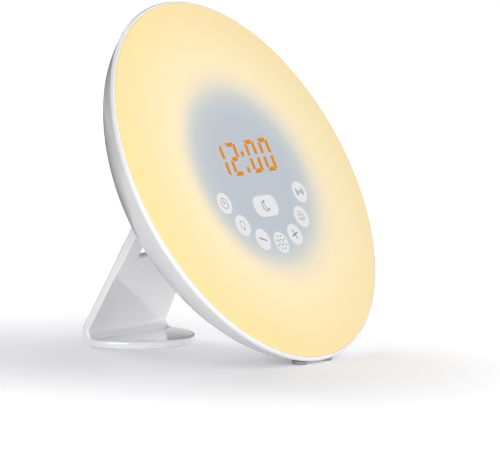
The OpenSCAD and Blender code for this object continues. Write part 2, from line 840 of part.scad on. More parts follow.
// Holes on a triangular grid, ring by ring around the middle one
module speaker_grille() {
    color("gainsboro") at_speaker() difference() {
        bar(grille_d / 2, body_depth - grille_t, body_depth);
        for (u = [-grille_rings : grille_rings]) for (v = [-grille_rings : grille_rings])
            if (abs(u + v) <= grille_rings)
                translate([grille_pitch * (u + v / 2), grille_pitch * v * sin(60)])
                    bar(grille_hole_d / 2, body_depth - grille_t - 1, body_depth + 1, $fn = 24);
    }
}

module speaker_screws() {
    color("silver") at_speaker() for (y = [-ear_reach, ear_reach]) translate([0, y])
        small_screw(speaker_floor - flange_t, flange_t + 0.5);
}

// ---- power inlet and battery -----------------------------------------------------------------

module at_inlet() {
    at_body() translate([inlet_x, -inlet_drop]) children();
}

module dc_jack() {
    color("#1c1c1e") at_inlet() difference() {
        union() {
            bar(inlet_nose_d / 2, inner_floor - eps, body_depth);
            translate([0, 0, -inner_floor + jack_l / 2]) cube([jack_w, jack_w, jack_l], center = true);
        }
        bar(inlet_bore_d / 2, body_depth - inlet_depth, body_depth + 1);
    }
}

module dc_jack_pin() {
    color("silver") at_inlet() bar(inlet_pin_d / 2, body_depth - inlet_depth, body_depth - 1);
}

module coin_cell() {
    color("silver") at_body() translate([0, door_y]) {
        bar(cell_r, cell_floor + 0.6, cell_floor + cell_h);
        bar(cell_r - 1.2, cell_floor, cell_floor + 0.6 + eps);
    }
}

module battery_contacts() {
    color("gold") at_body() translate([0, door_y]) bar(cell_r - 3, cup_back, cup_back + contact_t);
}

module battery_door() {
    color("white") at_body() translate([0, door_y]) difference() {
        union() {
            bar(door_d / 2, lug_in, body_depth);
            for (a = [0, 180]) rotate([0, 0, a]) intersection() {
                bar(door_d / 2 + lug_reach, lug_in, lug_in + lug_t);
                lug_wedge(lug_span);
            }
        }
        translate([0, 0, -body_depth]) cube([coin_slot[0], coin_slot[1], 2 * coin_slot[2]], center = true);
    }
}

module housing_screws() {
    length = boss_back - frame_depth + frame_boss_h - boss_cap - 1;
    color("silver") at_body() on_ring(screw_ring_r, screw_angles) {
        bar(screw_head_d / 2, boss_back, boss_back + screw_head_h);
        bar(screw_d / 2, boss_back - length, boss_back + eps);
    }
}

// ---- leads -----------------------------------------------------------------------------------

// A round tube with flat ends through a list of points, as one closed mesh of rings
module lead(points, r, sides = 6) {
    n = len(points);
    rings = [for (i = [0 : n - 1])
        let(d = points[min(i + 1, n - 1)] - points[max(i - 1, 0)])
        let(t = d / norm(d))
        let(side = cross(t, abs(t[0]) < 0.9 ? [1, 0, 0] : [0, 1, 0]))
        let(u = side / norm(side))
        let(v = cross(t, u))
        for (k = [0 : sides - 1]) points[i] + r * (cos(k * 360 / sides) * u + sin(k * 360 / sides) * v)];
    walls = [for (i = [0 : n - 2]) for (k = [0 : sides - 1])
        let(a = i * sides + k)
        let(b = i * sides + (k + 1) % sides)
        each [[a, b, b + sides], [a, b + sides, a + sides]]];
    near = [for (k = [1 : sides - 2]) [0, k + 1, k]];
    far = [for (k = [1 : sides - 2]) [(n - 1) * sides, (n - 1) * sides + k, (n - 1) * sides + k + 1]];
    polyhedron(points = rings, faces = [for (f = concat(walls, near, far)) [f[0], f[2], f[1]]]);
}

// A cubic curve from a to b that leaves a towards a + out and reaches b from b + back
function curve(a, out, b, back) =
    [for (i = [0 : 10]) let(t = i / 10)
        pow(1 - t, 3) * a + 3 * pow(1 - t, 2) * t * (a + out)
            + 3 * (1 - t) * t * t * (b + back) + pow(t, 3) * b];

// Two leads side by side from a socket's mouth to an end, both square to the board at each end
module lead_pair(from, out, to, back) {
    rise = [0, 0, back > 0 ? 1 : -1];
    for (side = [-0.5, 0.5]) {
        a = [from[0] + side * lead_gap, from[1], -lead_top];
        b = to + [side * lead_gap, 0, 0];
        lead(concat([a], curve(a - [0, 0, 1], [0, 0, -out], b + rise, [0, 0, back]), [b]), lead_r);
    }
}

module speaker_leads() {
    flange_spot = (grille_d / 2 + ear_reach) / 2 - 0.5;
    color("crimson") at_body()
        lead_pair(speaker_plug, 5, [0, flange_spot - speaker_drop, flange_t - speaker_floor], 7);
}

module dc_leads() {
    color("#303034") at_body() lead_pair(dc_plug, 2.5, [inlet_x, -inlet_drop, jack_l - inner_floor], 4);
}

module battery_leads() {
    color("#303034") at_body() lead_pair(battery_plug, 6, [battery_lead_x, door_y, -cup_back], 8);
}

module lamp_leads() {
    color("crimson") at_body()
        lead_pair(lamp_plug, 8, [lamp_lead_end[0], lamp_lead_end[1], -frame_depth], -16);
}

// ---- the stand -------------------------------------------------------------------------------

function half_width(up) = stand_w / 2 - up * tan(stand_taper);

module upright_outline_2d() {
    top = stand_reach + tongue_l;
    difference() {
        polygon([[-half_width(0), 0], [half_width(0), 0], [half_width(top), top], [-half_width(top), top]]);
        translate([0, notch_start + top / 2]) rounded_bar_2d(notch_w, top, notch_corner);
    }
}

// A step of the side profile that stands proud of the web and fades out below the notch
module arm_fronts() {
    top = stand_reach + tongue_l;
    intersection() {
        rotate([90, 0, 90]) linear_extrude(height = stand_w, center = true)
            polygon([[notch_start - arm_fade, -eps], [notch_start, arm_proud],
                [top, arm_proud], [top, -eps]]);
        difference() {
            linear_extrude(height = 4 * arm_proud, center = true) upright_outline_2d();
            translate([0, top / 2]) cube([notch_w, 2 * top, 8 * arm_proud], center = true);
        }
    }
}

// The rounded corner, run a hair past the upright's lower edge so that the two are one plate
module bend() {
    reach = 3 * (bend_r + stand_t);
    rotate([90, 0, 90]) linear_extrude(height = stand_w, center = true)
        intersection() {
            difference() {
                circle(r = bend_r + stand_t);
                circle(r = bend_r);
            }
            polygon([[0, 0], [0, -reach], [reach, -reach], [reach, reach * tan(stand_lean + seam_angle)]]);
        }
}

module foot_plate() {
    steps = 48;
    linear_extrude(height = stand_t)
        polygon([for (i = [0 : steps]) let(a = i * 180 / steps) [stand_w / 2 * cos(a), -foot_l * sin(a)]]);
}

module stand() {
    color("white") {
        difference() {
            at_plate() {
                translate([0, 0, -stand_t]) linear_extrude(height = stand_t) upright_outline_2d();
                arm_fronts();
            }
            at_body() translate([0, 0, rim_r - body_depth - near_gap]) cube(2 * rim_r, center = true);
        }
        at_body() intersection() {
            tongue_space(0, tongue_root, tongue_l);
            translate([0, 0, -stand_reach]) cube([rim_d, rim_d, 2 * stand_reach], center = true);
        }
        translate([0, body_y + bend_y, bend_z]) bend();
        translate([0, body_y + bend_y, 0]) foot_plate();
    }
}

rear_housing();
front_diffuser();
touch_keys();
snooze_key();
lit_segments();
unlit_segments();
display_module();
touch_pads();
control_board();
control_chips();
control_screws();
light_shroud();
lamp_board();
lamp_leds();
inner_frame();
main_board();
main_chip();
main_capacitors();
power_inductor();
board_connectors();
board_screws();
display_cable();
speaker_gasket();
speaker_frame();
speaker_cone();
speaker_magnet();
speaker_grille();
speaker_screws();
speaker_leads();
dc_jack();
dc_jack_pin();
dc_leads();
lamp_leads();
coin_cell();
battery_contacts();
battery_leads();
battery_door();
housing_screws();
front_feet();
stand();
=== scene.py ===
# %% [markdown]
# # A sunrise alarm clock
#
# The object is a round bedside lamp with a clock in the middle of its face. It leans back on a
# bent plastic stand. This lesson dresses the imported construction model: every moulded shell gets
# fine curves and rounded edges, and every surface gets a finish with its own small detail.
#
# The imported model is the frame. Its bodies carry the motion, so each new piece rides on one of
# them, and nothing is moved to fit. Lengths are in millimetres until a mesh is made, except where
# a comment gives metres.

# %% Load the frame
import math

import bmesh
import bpy
import numpy as np
from mathutils import Matrix, Vector


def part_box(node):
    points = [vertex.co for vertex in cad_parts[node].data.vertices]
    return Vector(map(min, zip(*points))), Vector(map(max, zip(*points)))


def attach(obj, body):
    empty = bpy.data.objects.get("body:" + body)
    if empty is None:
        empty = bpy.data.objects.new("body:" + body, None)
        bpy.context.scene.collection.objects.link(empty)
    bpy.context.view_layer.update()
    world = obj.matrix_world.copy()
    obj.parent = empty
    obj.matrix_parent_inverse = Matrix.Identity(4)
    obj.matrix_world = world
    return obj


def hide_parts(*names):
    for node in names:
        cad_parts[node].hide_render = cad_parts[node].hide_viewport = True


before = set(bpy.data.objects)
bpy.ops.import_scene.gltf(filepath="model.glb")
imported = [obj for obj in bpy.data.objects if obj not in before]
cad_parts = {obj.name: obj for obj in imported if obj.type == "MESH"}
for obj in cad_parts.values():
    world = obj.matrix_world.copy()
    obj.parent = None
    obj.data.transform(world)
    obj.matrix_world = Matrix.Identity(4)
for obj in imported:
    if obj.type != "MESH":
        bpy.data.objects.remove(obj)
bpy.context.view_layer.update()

# %% [markdown]
# ## Two frames of reference
#
# A moulder draws the round body upright, and only then leans it back. We do the same. The body
# frame has x across the face, y up the face and z out of the face, and z = 0 is the plane of the
# rim's front edge. Its origin is found from the ring that stands round the display, because that
# ring is centred on the body's axis.

# %% The body frame
MM = 0.001
LEAN = math.radians(30)
SHROUD_MIDDLE_Z = -4.955

ACROSS = np.array([1.0, 0.0, 0.0])
UP_FACE = np.array([0.0, math.sin(LEAN), math.cos(LEAN)])
OUT_OF_FACE = np.array([0.0, -math.cos(LEAN), math.sin(LEAN)])
BODY_AXES = np.stack([ACROSS, UP_FACE, OUT_OF_FACE])

shroud_middle = np.mean(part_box("light_shroud"), axis=0)
body_origin = shroud_middle - SHROUD_MIDDLE_Z * MM * OUT_OF_FACE


def from_body(points):
    """Points of the body frame, in mm, as points of the shared frame, in metres."""
    return body_origin + MM * np.asarray(points) @ BODY_AXES


def from_table(points):
    """Points measured from the table under the object, in mm, as metres in the shared frame."""
    return MM * np.asarray(points)


def as_given(points):
    """Points that stay as they are, in metres or still flat."""
    return points


print("the rim's plane is centred on", np.round(body_origin, 5))

# %% [markdown]
# ## One way to make a skin
#
# Most moulded parts are a section carried along something: round an axis for a bowl, round an
# outline for a plate with soft edges, or along a line for a printed stroke. In each case the
# surface is a grid of points, row by row. So one function turns rows into a closed mesh, and
# three short functions work out the rows as whole arrays.

# %% Rows to a closed skin
def skin(rows, loop=False):
    """Points and faces of a grid whose rows are closed rings of points.
    Face (i, j) joins neighbours along ring i and across to ring i + 1. The first and last rings
    are closed by one flat face each, unless the rows loop round to the first one again."""
    rows = np.asarray(rows, float)
    count, size = rows.shape[:2]
    i, j = np.meshgrid(np.arange(count if loop else count - 1), np.arange(size), indexing="ij")
    here = i * size + j
    beside = i * size + (j + 1) % size
    above = (i + 1) % count * size
    faces = np.stack([here, beside, above + (j + 1) % size, above + j], -1).reshape(-1, 4).tolist()
    if not loop:
        faces.append(list(range(size - 1, -1, -1)))
        faces.append(list(range((count - 1) * size, count * size)))
    return rows.reshape(-1, 3), faces


def revolve(profile, steps=64, centre=(0.0, 0.0)):
    """A turned solid: ring i has the radius and height of profile point i, about a centre."""
    profile = np.asarray(profile, float)
    turn = np.arange(steps) * 2 * np.pi / steps
    x = centre[0] + profile[:, :1] * np.cos(turn)
    y = centre[1] + profile[:, :1] * np.sin(turn)
    z = np.broadcast_to(profile[:, 1:], x.shape)
    return skin(np.stack([x, y, z], -1))


def into_outline(outline):
    """For each point of a counter-clockwise outline, the step that moves both its edges in by 1."""
    ahead = np.roll(outline, -1, axis=0) - outline
    ahead /= np.linalg.norm(ahead, axis=1, keepdims=True)
    left = np.stack([-ahead[:, 1], ahead[:, 0]], 1)
    before = np.roll(left, 1, axis=0)
    return (left + before) / (1 + (left * before).sum(1, keepdims=True))


def plate(outline, low, high, edge=0.0, steps=4):
    """A plate with rounded edges of radius e: at angle q of a quarter circle the outline is moved
    in by e (1 - sin q) and has climbed by e (1 - cos q). The upper edge mirrors the lower one."""
    outline = np.asarray(outline, float)
    inwards = into_outline(outline)
    quarter = np.linspace(0, np.pi / 2, steps + 1) if edge else np.array([np.pi / 2])
    inset = edge * (1 - np.sin(quarter))
    climb = edge * (1 - np.cos(quarter))
    insets = np.concatenate([inset, inset[::-1]])
    heights = np.concatenate([low + climb, high - climb[::-1]])
    flat = outline[None] + insets[:, None, None] * inwards[None]
    tall = np.broadcast_to(heights[:, None, None], (*flat.shape[:2], 1))
    return skin(np.concatenate([flat, tall], -1))


def stroke(path, width, low, high, loop=False):
    """A printed stroke: a flat rectangle carried along a path, square to the path's direction."""
    if loop:
        ahead = np.roll(path, -1, axis=0) - np.roll(path, 1, axis=0)
    else:
        ahead = np.gradient(path, axis=0)
    ahead /= np.linalg.norm(ahead, axis=1, keepdims=True)
    side = np.stack([-ahead[:, 1], ahead[:, 0]], 1) * width / 2
    corners = [(side, low), (-side, low), (-side, high), (side, high)]
    rows = [np.column_stack([path + step, np.full(len(path), z)]) for step, z in corners]
    return skin(np.stack(rows, 1), loop)


def circle(radius, centre=(0.0, 0.0), steps=64, start=0.0, end=360.0):
    """Points of a circle, or of an arc between two angles in degrees with both its ends."""
    whole = end - start >= 360
    turn = np.radians(np.linspace(start, end, steps, endpoint=not whole))
    return np.stack([centre[0] + radius * np.cos(turn), centre[1] + radius * np.sin(turn)], 1)


# %% [markdown]
# ## From arrays to a piece
#
# A piece may be several closed skins, such as the printed signs. Its object stays at the origin
# and its place is in its mesh. Faces are turned outwards, the sharp corners are marked by angle,
# and weighted normals keep wide flat faces flat beside a narrow rounded edge.

# %% Making, cutting and riding
SHARP_ANGLE = math.radians(35)


def make_mesh(name, skins, place=from_body):
    """A new object from one or more (points, faces) skins, put in its place."""
    points, faces, count = [], [], 0
    for skin_points, skin_faces in skins:
        points.append(skin_points)
        faces += [[count + v for v in face] for face in skin_faces]
        count += len(skin_points)
    mesh = bpy.data.meshes.new(name)
    mesh.from_pydata(place(np.concatenate(points)), [], faces)
    made = bpy.data.objects.new(name, mesh)
    bpy.context.scene.collection.objects.link(made)
    return made


def mesh_points(mesh):
    """A mesh's points, a row for each."""
    points = np.empty(len(mesh.vertices) * 3)
    mesh.vertices.foreach_get("co", points)
    return points.reshape(-1, 3)


def outwards(piece):
    """Turns the faces outwards and marks the sharp edges."""
    shape = bmesh.new()
    shape.from_mesh(piece.data)
    bmesh.ops.recalc_face_normals(shape, faces=shape.faces)
    shape.to_mesh(piece.data)
    shape.free()
    piece.data.polygons.foreach_set("use_smooth", np.ones(len(piece.data.polygons), bool))
    piece.data.set_sharp_from_angle(angle=SHARP_ANGLE)


def join_or_cut(piece, skins, operation):
    """Joins or cuts with closed skins as the tools, all in one exact Boolean."""
    kit = bpy.data.collections.new("tools")
    bpy.context.scene.collection.children.link(kit)
    tools = [make_mesh("tool", [tool_skin]) for tool_skin in skins]
    for tool in tools:
        outwards(tool)
        bpy.context.scene.collection.objects.unlink(tool)
        kit.objects.link(tool)
    step = piece.modifiers.new("shape", "BOOLEAN")
    step.operation = operation
    step.solver = "EXACT"
    step.operand_type = "COLLECTION"
    step.collection = kit
    graph = bpy.context.evaluated_depsgraph_get()
    finished = bpy.data.meshes.new_from_object(piece.evaluated_get(graph))
    piece.modifiers.clear()
    piece.data = finished
    for tool in tools:
        bpy.data.objects.remove(tool)
    bpy.data.collections.remove(kit)


def finish_piece(piece, body, replaced=()):
    """Evens the shading and hangs the piece on its body."""
    outwards(piece)
    even = piece.modifiers.new("even_normals", "WEIGHTED_NORMAL")
    even.keep_sharp = True
    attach(piece, body)
    if replaced:
        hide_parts(*replaced)
    print(piece.name, "has", len(piece.data.vertices), "points")


# %% [markdown]
# ## Camera
#
# The picture was taken from far away with a long lens, from the clock's left and slightly above,
# and the picture is turned a little clockwise. We place the camera 6.5 m off and work the lens out
# from the width that the picture spans at the object.

# %% The camera
CAMERA_AZIMUTH = math.radians(-57.5)
CAMERA_ELEVATION = math.radians(7.08)
CAMERA_ROLL = math.radians(1.90)
CAMERA_DISTANCE = 6.5  # metres
PICTURE_WIDTH = 0.2531  # metres
CLIP_END = 50.0  # metres
AIM_RIGHT = 2.8
AIM_DOWN = 24.0

camera_back = np.array([
    math.sin(CAMERA_AZIMUTH) * math.cos(CAMERA_ELEVATION),
    -math.cos(CAMERA_AZIMUTH) * math.cos(CAMERA_ELEVATION),
    math.sin(CAMERA_ELEVATION),
])
camera_right = np.array([math.cos(CAMERA_AZIMUTH), math.sin(CAMERA_AZIMUTH), 0.0])
camera_up = np.cross(camera_back, camera_right)
aim = body_origin + MM * (AIM_RIGHT * camera_right - AIM_DOWN * camera_up)

lens = bpy.data.cameras.new("camera")
lens.lens = lens.sensor_width * CAMERA_DISTANCE / PICTURE_WIDTH
lens.clip_end = CLIP_END
camera = bpy.data.objects.new("camera", lens)
turned = Matrix(np.stack([camera_right, camera_up, camera_back], 1).tolist())
camera.matrix_world = (
    Matrix.Translation(Vector(aim + CAMERA_DISTANCE * camera_back))
    @ turned.to_4x4()
    @ Matrix.Rotation(CAMERA_ROLL, 4, "Z")
)
bpy.context.scene.collection.objects.link(camera)
bpy.context.scene.camera = camera
print("lens", round(lens.lens), "mm")

# %% [markdown]
# ## The rear housing's curve
#
# The housing is one injection-moulded bowl. Its side falls away like a flattened dome and ends in
# a flat round panel. The depth below the widest line is a power of the cosine, so that one number
# sets how full the curve is. The inside skin is the same curve moved in by the wall.

# %% The bowl's curve
RIM_R = 100.0
BODY_DEPTH = 41.0
WIDEST_DEPTH = 1.95
CROWN = 44.0
BOWL_POWER = 1.38
WALL = 2.4
BOWL_FROM, BOWL_TO = 0.9, math.radians(89.95)
SLIVER = 0.05
panel_angle = math.acos(((BODY_DEPTH - WIDEST_DEPTH) / CROWN) ** (1 / BOWL_POWER))


def bowl_points(inset, steps=96):
    """Radius and z of the skin, from the back panel to the widest line, moved inwards.
    At angle a from the axis the radius is R sin a, and the depth is a power of cos a."""
    a = np.linspace(panel_angle * BOWL_FROM, BOWL_TO, steps)
    along_r = RIM_R * np.cos(a)
    along_d = -CROWN * BOWL_POWER * np.cos(a) ** (BOWL_POWER - 1) * np.sin(a)
    size = np.hypot(along_r, along_d)
    radius = RIM_R * np.sin(a) + inset * along_d / size
    depth = WIDEST_DEPTH + CROWN * np.cos(a) ** BOWL_POWER - inset * along_r / size
    return np.stack([radius, -depth], 1)


def bowl_depth(radius):
    """Depth of the outer skin at a radius."""
    return WIDEST_DEPTH + CROWN * (1 - (radius / RIM_R) ** 2) ** (BOWL_POWER / 2)


def floor_ring(points, depth):
    """The curve's points above a flat floor, with the point where it meets the floor first."""
    meets = np.interp(depth, -points[::-1, 1], points[::-1, 0])
    kept = points[-points[:, 1] < depth - SLIVER]
    return np.concatenate([[[meets, -depth]], kept])


# %% [markdown]
# ## The rear housing
#
# We turn a section round the axis: back panel, bowl, lip, the groove where the lamp face sits, and
# back down the inside. The bowl's last part is a quadratic Bezier curve that reaches the widest
# line at a slope, and the lip is a quarter of an ellipse from there to the front. The crease
# between them is what parts the bright lip from the darker side. The holes in the back are then
# cut by simple tools in one exact Boolean, which leaves crisp edges.

# %% The housing shell
BLEND_DEPTH = 14.0
EDGE_SLOPE = math.radians(26)
DIFFUSER_R = 98.3
FACE_FIT = 0.15
LEDGE_DEPTH = 2.2
PANEL_ROUND = 1.2
CORNER_GAP = 0.3
LIP_INNER_ROUND = 0.18
TURN_STEPS = 360

outer = floor_ring(bowl_points(0), BODY_DEPTH)
panel_edge = outer[0, 0]
bowl_slope = math.atan2(outer[2, 1] - outer[1, 1], outer[2, 0] - outer[1, 0])
corner_r = panel_edge - PANEL_ROUND * math.tan(bowl_slope / 2)
corner_points = circle(PANEL_ROUND, (corner_r, PANEL_ROUND - BODY_DEPTH), 7, -90,
                       math.degrees(bowl_slope) - 90)
past_corner = outer[:, 0] > corner_points[-1, 0] + CORNER_GAP
bowl_part = outer[past_corner & (outer[:, 1] < -BLEND_DEPTH)]
start, widest = bowl_part[-1], np.array([RIM_R, -WIDEST_DEPTH])
leave = start - bowl_part[-2]
arrive = np.array([math.sin(EDGE_SLOPE), math.cos(EDGE_SLOPE)])
reach = np.linalg.solve(np.stack([leave, arrive], 1), widest - start)
t = np.linspace(0, 1, 14)[1:-1, None]
blend = (1 - t) ** 2 * start + 2 * t * (1 - t) * (start + reach[0] * leave) + t ** 2 * widest

groove_r = DIFFUSER_R + FACE_FIT
lip_top_r = groove_r + LIP_INNER_ROUND
lip = (lip_top_r, -WIDEST_DEPTH) + circle(1, steps=14, end=90) * (RIM_R - lip_top_r, WIDEST_DEPTH)
lip_inner = circle(LIP_INNER_ROUND, (lip_top_r, -LIP_INNER_ROUND), 12, 90, 180)[1:]
inner = floor_ring(bowl_points(WALL), BODY_DEPTH - WALL)[::-1]
inner = inner[-inner[:, 1] > LEDGE_DEPTH + SLIVER]
shell_section = np.concatenate([
    corner_points, bowl_part, blend, lip, lip_inner,
    [[groove_r, -LEDGE_DEPTH], [inner[0, 0], -LEDGE_DEPTH]], inner,
])
housing = make_mesh("housing_shell", [revolve(shell_section, TURN_STEPS)])

# %% [markdown]
# ## Holes in the back
#
# Four deep screw wells, two slots for the stand, the battery bay with its two notches, the speaker
# opening and the power inlet. Each tool is a turned or extruded solid of the hole's real size.

# %% Where the stand's plate enters the back
STAND_LEAN = math.radians(24.5)
SOCKET_Y = 8.7
STAND_T = 4.0
TONGUE_IN = 20.5
TONGUE_W = 8.8
TONGUE_L = 14.0
TONGUE_FIT = 0.2
SOCKET_WALL = 1.8
plate_turn = LEAN + STAND_LEAN
plate_up = np.array([math.cos(plate_turn), math.sin(plate_turn)])
plate_front = np.array([-math.sin(plate_turn), math.cos(plate_turn)])


def in_body(across, up, front):
    """Body-frame points from places on the plate: across, up from the panel, and frontwards."""
    across, up, front = np.broadcast_arrays(across, up, front)
    y = SOCKET_Y + up * plate_up[0] + front * plate_front[0]
    z = -BODY_DEPTH + up * plate_up[1] + front * plate_front[1]
    return np.stack([across, y, z], -1)


def up_at_depth(depth, front):
    """How far up the plate a point at this distance to the front reaches the given depth."""
    return (BODY_DEPTH - depth - front * plate_front[1]) / plate_up[1]


def tongue_ring(side, grow, up=None, depth=None):
    """The four corners of a tongue's section, widened, square to it or lying in a depth plane."""
    middle = side * (TONGUE_IN + TONGUE_W / 2)
    across = middle + (TONGUE_W / 2 + grow) * np.array([-1, 1, 1, -1])
    front = (STAND_T / 2 + grow) * np.array([-1, -1, 1, 1])
    return in_body(across, up_at_depth(depth, front) if up is None else up, front)


# %% Cutting the holes
SCREW_RING_R = 63.0
SCREW_WELL_R = 3.15
SCREW_WELL_DEPTH = 28.0
WELL_CUT_DEPTH = 27.0
SCREW_ANGLES = np.radians([45, 135, 225, 315])
screw_places = SCREW_RING_R * np.stack([np.cos(SCREW_ANGLES), np.sin(SCREW_ANGLES)], 1)
SPEAKER_Y = -16.0
GRILLE_R = 17.1
GRILLE_DEPTH = 39.8
SPEAKER_HOLE_R = 15.5
INLET = (26.0, -18.0)
INLET_R = 4.1
DOOR_Y = 27.0
DOOR_R = 12.0
DOOR_FIT = 0.1
LUG_R = 13.35
LUG_NOTCH = math.radians(30)
DOOR_TURN = math.radians(45)
GROOVE_TOP = 38.15
GROOVE_END = 39.5
PAST_BACK = BODY_DEPTH + 2.0
PAST_WALL = BODY_DEPTH - WALL - 0.6
SLOT_REACH = 8.0


def post(radius, near, far, centre, steps=64):
    """A plain round tool between two depths."""
    return revolve([[radius, -far], [radius, -near]], steps, centre)


def lobed(radius, lobe_r, span, turn, steps=180):
    """A circle whose radius steps out to lobe_r over two opposite spans: a bayonet's outline."""
    angle = np.arange(steps) * 2 * np.pi / steps
    away = np.abs((angle - turn + np.pi / 2) % np.pi - np.pi / 2)
    r = np.where(away < span / 2, lobe_r, radius)
    return np.stack([r * np.cos(angle), DOOR_Y + r * np.sin(angle)], 1)


tools = [post(SCREW_WELL_R, WELL_CUT_DEPTH, PAST_BACK, place) for place in screw_places]
tools += [
    post(INLET_R, PAST_WALL, PAST_BACK, INLET),
    post(GRILLE_R, GRILLE_DEPTH, PAST_BACK, (0, SPEAKER_Y), 96),
    post(SPEAKER_HOLE_R, PAST_WALL, PAST_BACK, (0, SPEAKER_Y), 96),
    plate(lobed(DOOR_R + DOOR_FIT, LUG_R, LUG_NOTCH, -DOOR_TURN), -PAST_BACK, -PAST_WALL),
    post(LUG_R, PAST_WALL, GROOVE_END, (0, DOOR_Y), 96),
]
for side in (-1, 1):
    tools.append(skin([tongue_ring(side, TONGUE_FIT, up=u) for u in (-SLOT_REACH, SLOT_REACH)]))
join_or_cut(housing, tools, "DIFFERENCE")
finish_piece(housing, "clock", ["rear_housing"])

# %% [markdown]
# ## What lies behind the holes
#
# Behind each hole the real moulding has a wall: a well down to each screw, a cup for the coin cell
# and a pocket for each of the stand's tongues. They are closed skins that start inside the wall,
# so that no hole looks into a hollow. The wells end on the bowl's curve, point by point.

# %% Wells, pockets and the battery cup
BOSS_R = 4.8
WELL_FLOOR_T = 1.5
IN_WALL = 1.2
CUP_R = 15.15
CELL_BORE_R = 10.1
CUP_FLOOR = 34.45
CUP_FLOOR_T = 1.4


def screw_well(place, steps=48):
    """A tube with a floor. Its open end follows the bowl, half a wall below the skin."""
    rows = []
    for radius, depth in ((SCREW_WELL_R, SCREW_WELL_DEPTH), (SCREW_WELL_R, None),
                          (BOSS_R, None), (BOSS_R, SCREW_WELL_DEPTH - WELL_FLOOR_T)):
        flat = circle(radius, place, steps)
        end = bowl_depth(np.hypot(flat[:, 0], flat[:, 1])) - IN_WALL if depth is None else depth
        rows.append(np.column_stack([flat, np.broadcast_to(-end, len(flat))]))
    return skin(rows)


def tongue_pocket(side):
    """A rectangular pocket: floor, mouth inside the panel's wall, and back along its outside."""
    depth = BODY_DEPTH - IN_WALL
    wide = TONGUE_FIT + SOCKET_WALL
    return skin([
        tongue_ring(side, TONGUE_FIT, up=TONGUE_L + TONGUE_FIT),
        tongue_ring(side, TONGUE_FIT, depth=depth),
        tongue_ring(side, wide, depth=depth),
        tongue_ring(side, wide, up=TONGUE_L + wide),
    ])


battery_cup = revolve([
    [CELL_BORE_R, -CUP_FLOOR], [CELL_BORE_R, -GROOVE_TOP], [LUG_R, -GROOVE_TOP],
    [LUG_R, WALL - BODY_DEPTH - SLIVER], [CUP_R, WALL - BODY_DEPTH - SLIVER],
    [CUP_R, CUP_FLOOR_T - CUP_FLOOR],
], 96, (0, DOOR_Y))
insides = [screw_well(place) for place in screw_places]
insides += [tongue_pocket(side) for side in (-1, 1)]
insides.append(battery_cup)
wells = make_mesh("housing_wells", insides)
finish_piece(wells, "clock", ["rear_housing"])

# %% [markdown]
# ## The opal lamp face
#
# The face is one moulded diffuser: flat in the middle under the keys, then falling towards the
# rim along a power curve. Its flange drops into the rim's groove and a skirt carries it. The edge
# is rounded, because that thin bright line beside the lip is what the eye reads as its thickness.

# %% The diffuser
FACE_PROUD = 4.54
EDGE_PROUD = 0.3
FACE_FLAT_R = 46.0
FACE_POWER = 2.2
FACE_T = 2.2
SKIRT_R = 95.4
SKIRT_T = 2.0
SKIRT_DEPTH = 6.0
FACE_EDGE_ROUND = 0.35
PRINT_T = 0.03


def face_height(radius):
    """Height of the face: level in the middle, then a fall that grows as a power of the radius."""
    out = np.maximum(0, radius - FACE_FLAT_R) / (DIFFUSER_R - FACE_FLAT_R)
    return FACE_PROUD - PRINT_T - (FACE_PROUD - PRINT_T - EDGE_PROUD) * out ** FACE_POWER


under_r = np.linspace(FACE_FLAT_R, SKIRT_R - SKIRT_T, 40)
front_r = np.linspace(DIFFUSER_R - FACE_EDGE_ROUND, FACE_FLAT_R, 80)
edge_middle = (DIFFUSER_R - FACE_EDGE_ROUND, EDGE_PROUD - FACE_EDGE_ROUND)
face_edge = circle(FACE_EDGE_ROUND, edge_middle, 7, 0, 90)[:-1]
face_section = np.concatenate([
    np.stack([under_r, face_height(under_r) - FACE_T], 1),
    [[SKIRT_R - SKIRT_T, -SKIRT_DEPTH], [SKIRT_R, -SKIRT_DEPTH], [SKIRT_R, -LEDGE_DEPTH],
     [DIFFUSER_R, -LEDGE_DEPTH]],
    face_edge,
    np.stack([front_r, face_height(front_r)], 1),
])
lamp_face = make_mesh("lamp_face", [revolve(face_section, TURN_STEPS)])
finish_piece(lamp_face, "clock", ["front_diffuser"])

# %% [markdown]
# ## Signs on the keys
#
# The keys are flat windows in the face, each with a thin grey sign. A sign is a handful of
# strokes, most of them a third of a millimetre wide. The signs are generic: a clock, a bulb,
# minus, a sun, plus, a sunrise and radio waves, and a moon for the snooze key.

# %% Draw the signs
KEY_RING_R = 37.2
KEY_STEP = 23.6
SNOOZE_Y = -16.8
THIN, MEDIUM, WAVE, BOLD = 0.34, 0.5, 0.6, 0.72
SIGN_T = 0.03


def line(a, b):
    """A straight path between two points."""
    return np.linspace(a, b, 2)


def drawn(width, *paths, closed=False):
    """Paths in mm about a key's middle, with the width of their strokes."""
    return [(path, width, closed) for path in paths]


def moon_sign(big=2.8, small=2.3, apart=1.5, turn=25.0):
    """Two circles meet where the law of cosines gives cos a = (d^2 + R^2 - r^2) / (2 d R). The
    crescent's outline is the big circle outside the small one, and the small one inside it."""
    meet = math.degrees(math.acos((apart ** 2 + big ** 2 - small ** 2) / (2 * apart * big)))
    bite = math.degrees(math.acos((apart ** 2 + small ** 2 - big ** 2) / (2 * apart * small)))
    centre = circle(apart, steps=1, start=turn, end=turn)[0]
    outside = circle(big, (0, 0), 40, turn + meet, turn + 360 - meet)
    inside = circle(small, centre, 30, turn + 180 - bite, turn + 180 + bite)
    return drawn(MEDIUM, outside, inside)


# A dial with a spot at its middle and two hands.
hands = np.array([[-1.0, 1.0], [0.0, 0.0], [0.0, 1.5]])
clock_sign = drawn(THIN, circle(2.75), circle(0.28), closed=True) + drawn(THIN, hands)
# Five sixths of a circle over two short lines.
bulb_sign = drawn(THIN, circle(1.9, (0, 0.6), 40, -60, 240),
                  *[line((-0.9, y), (0.9, y)) for y in (-1.6, -2.3)])
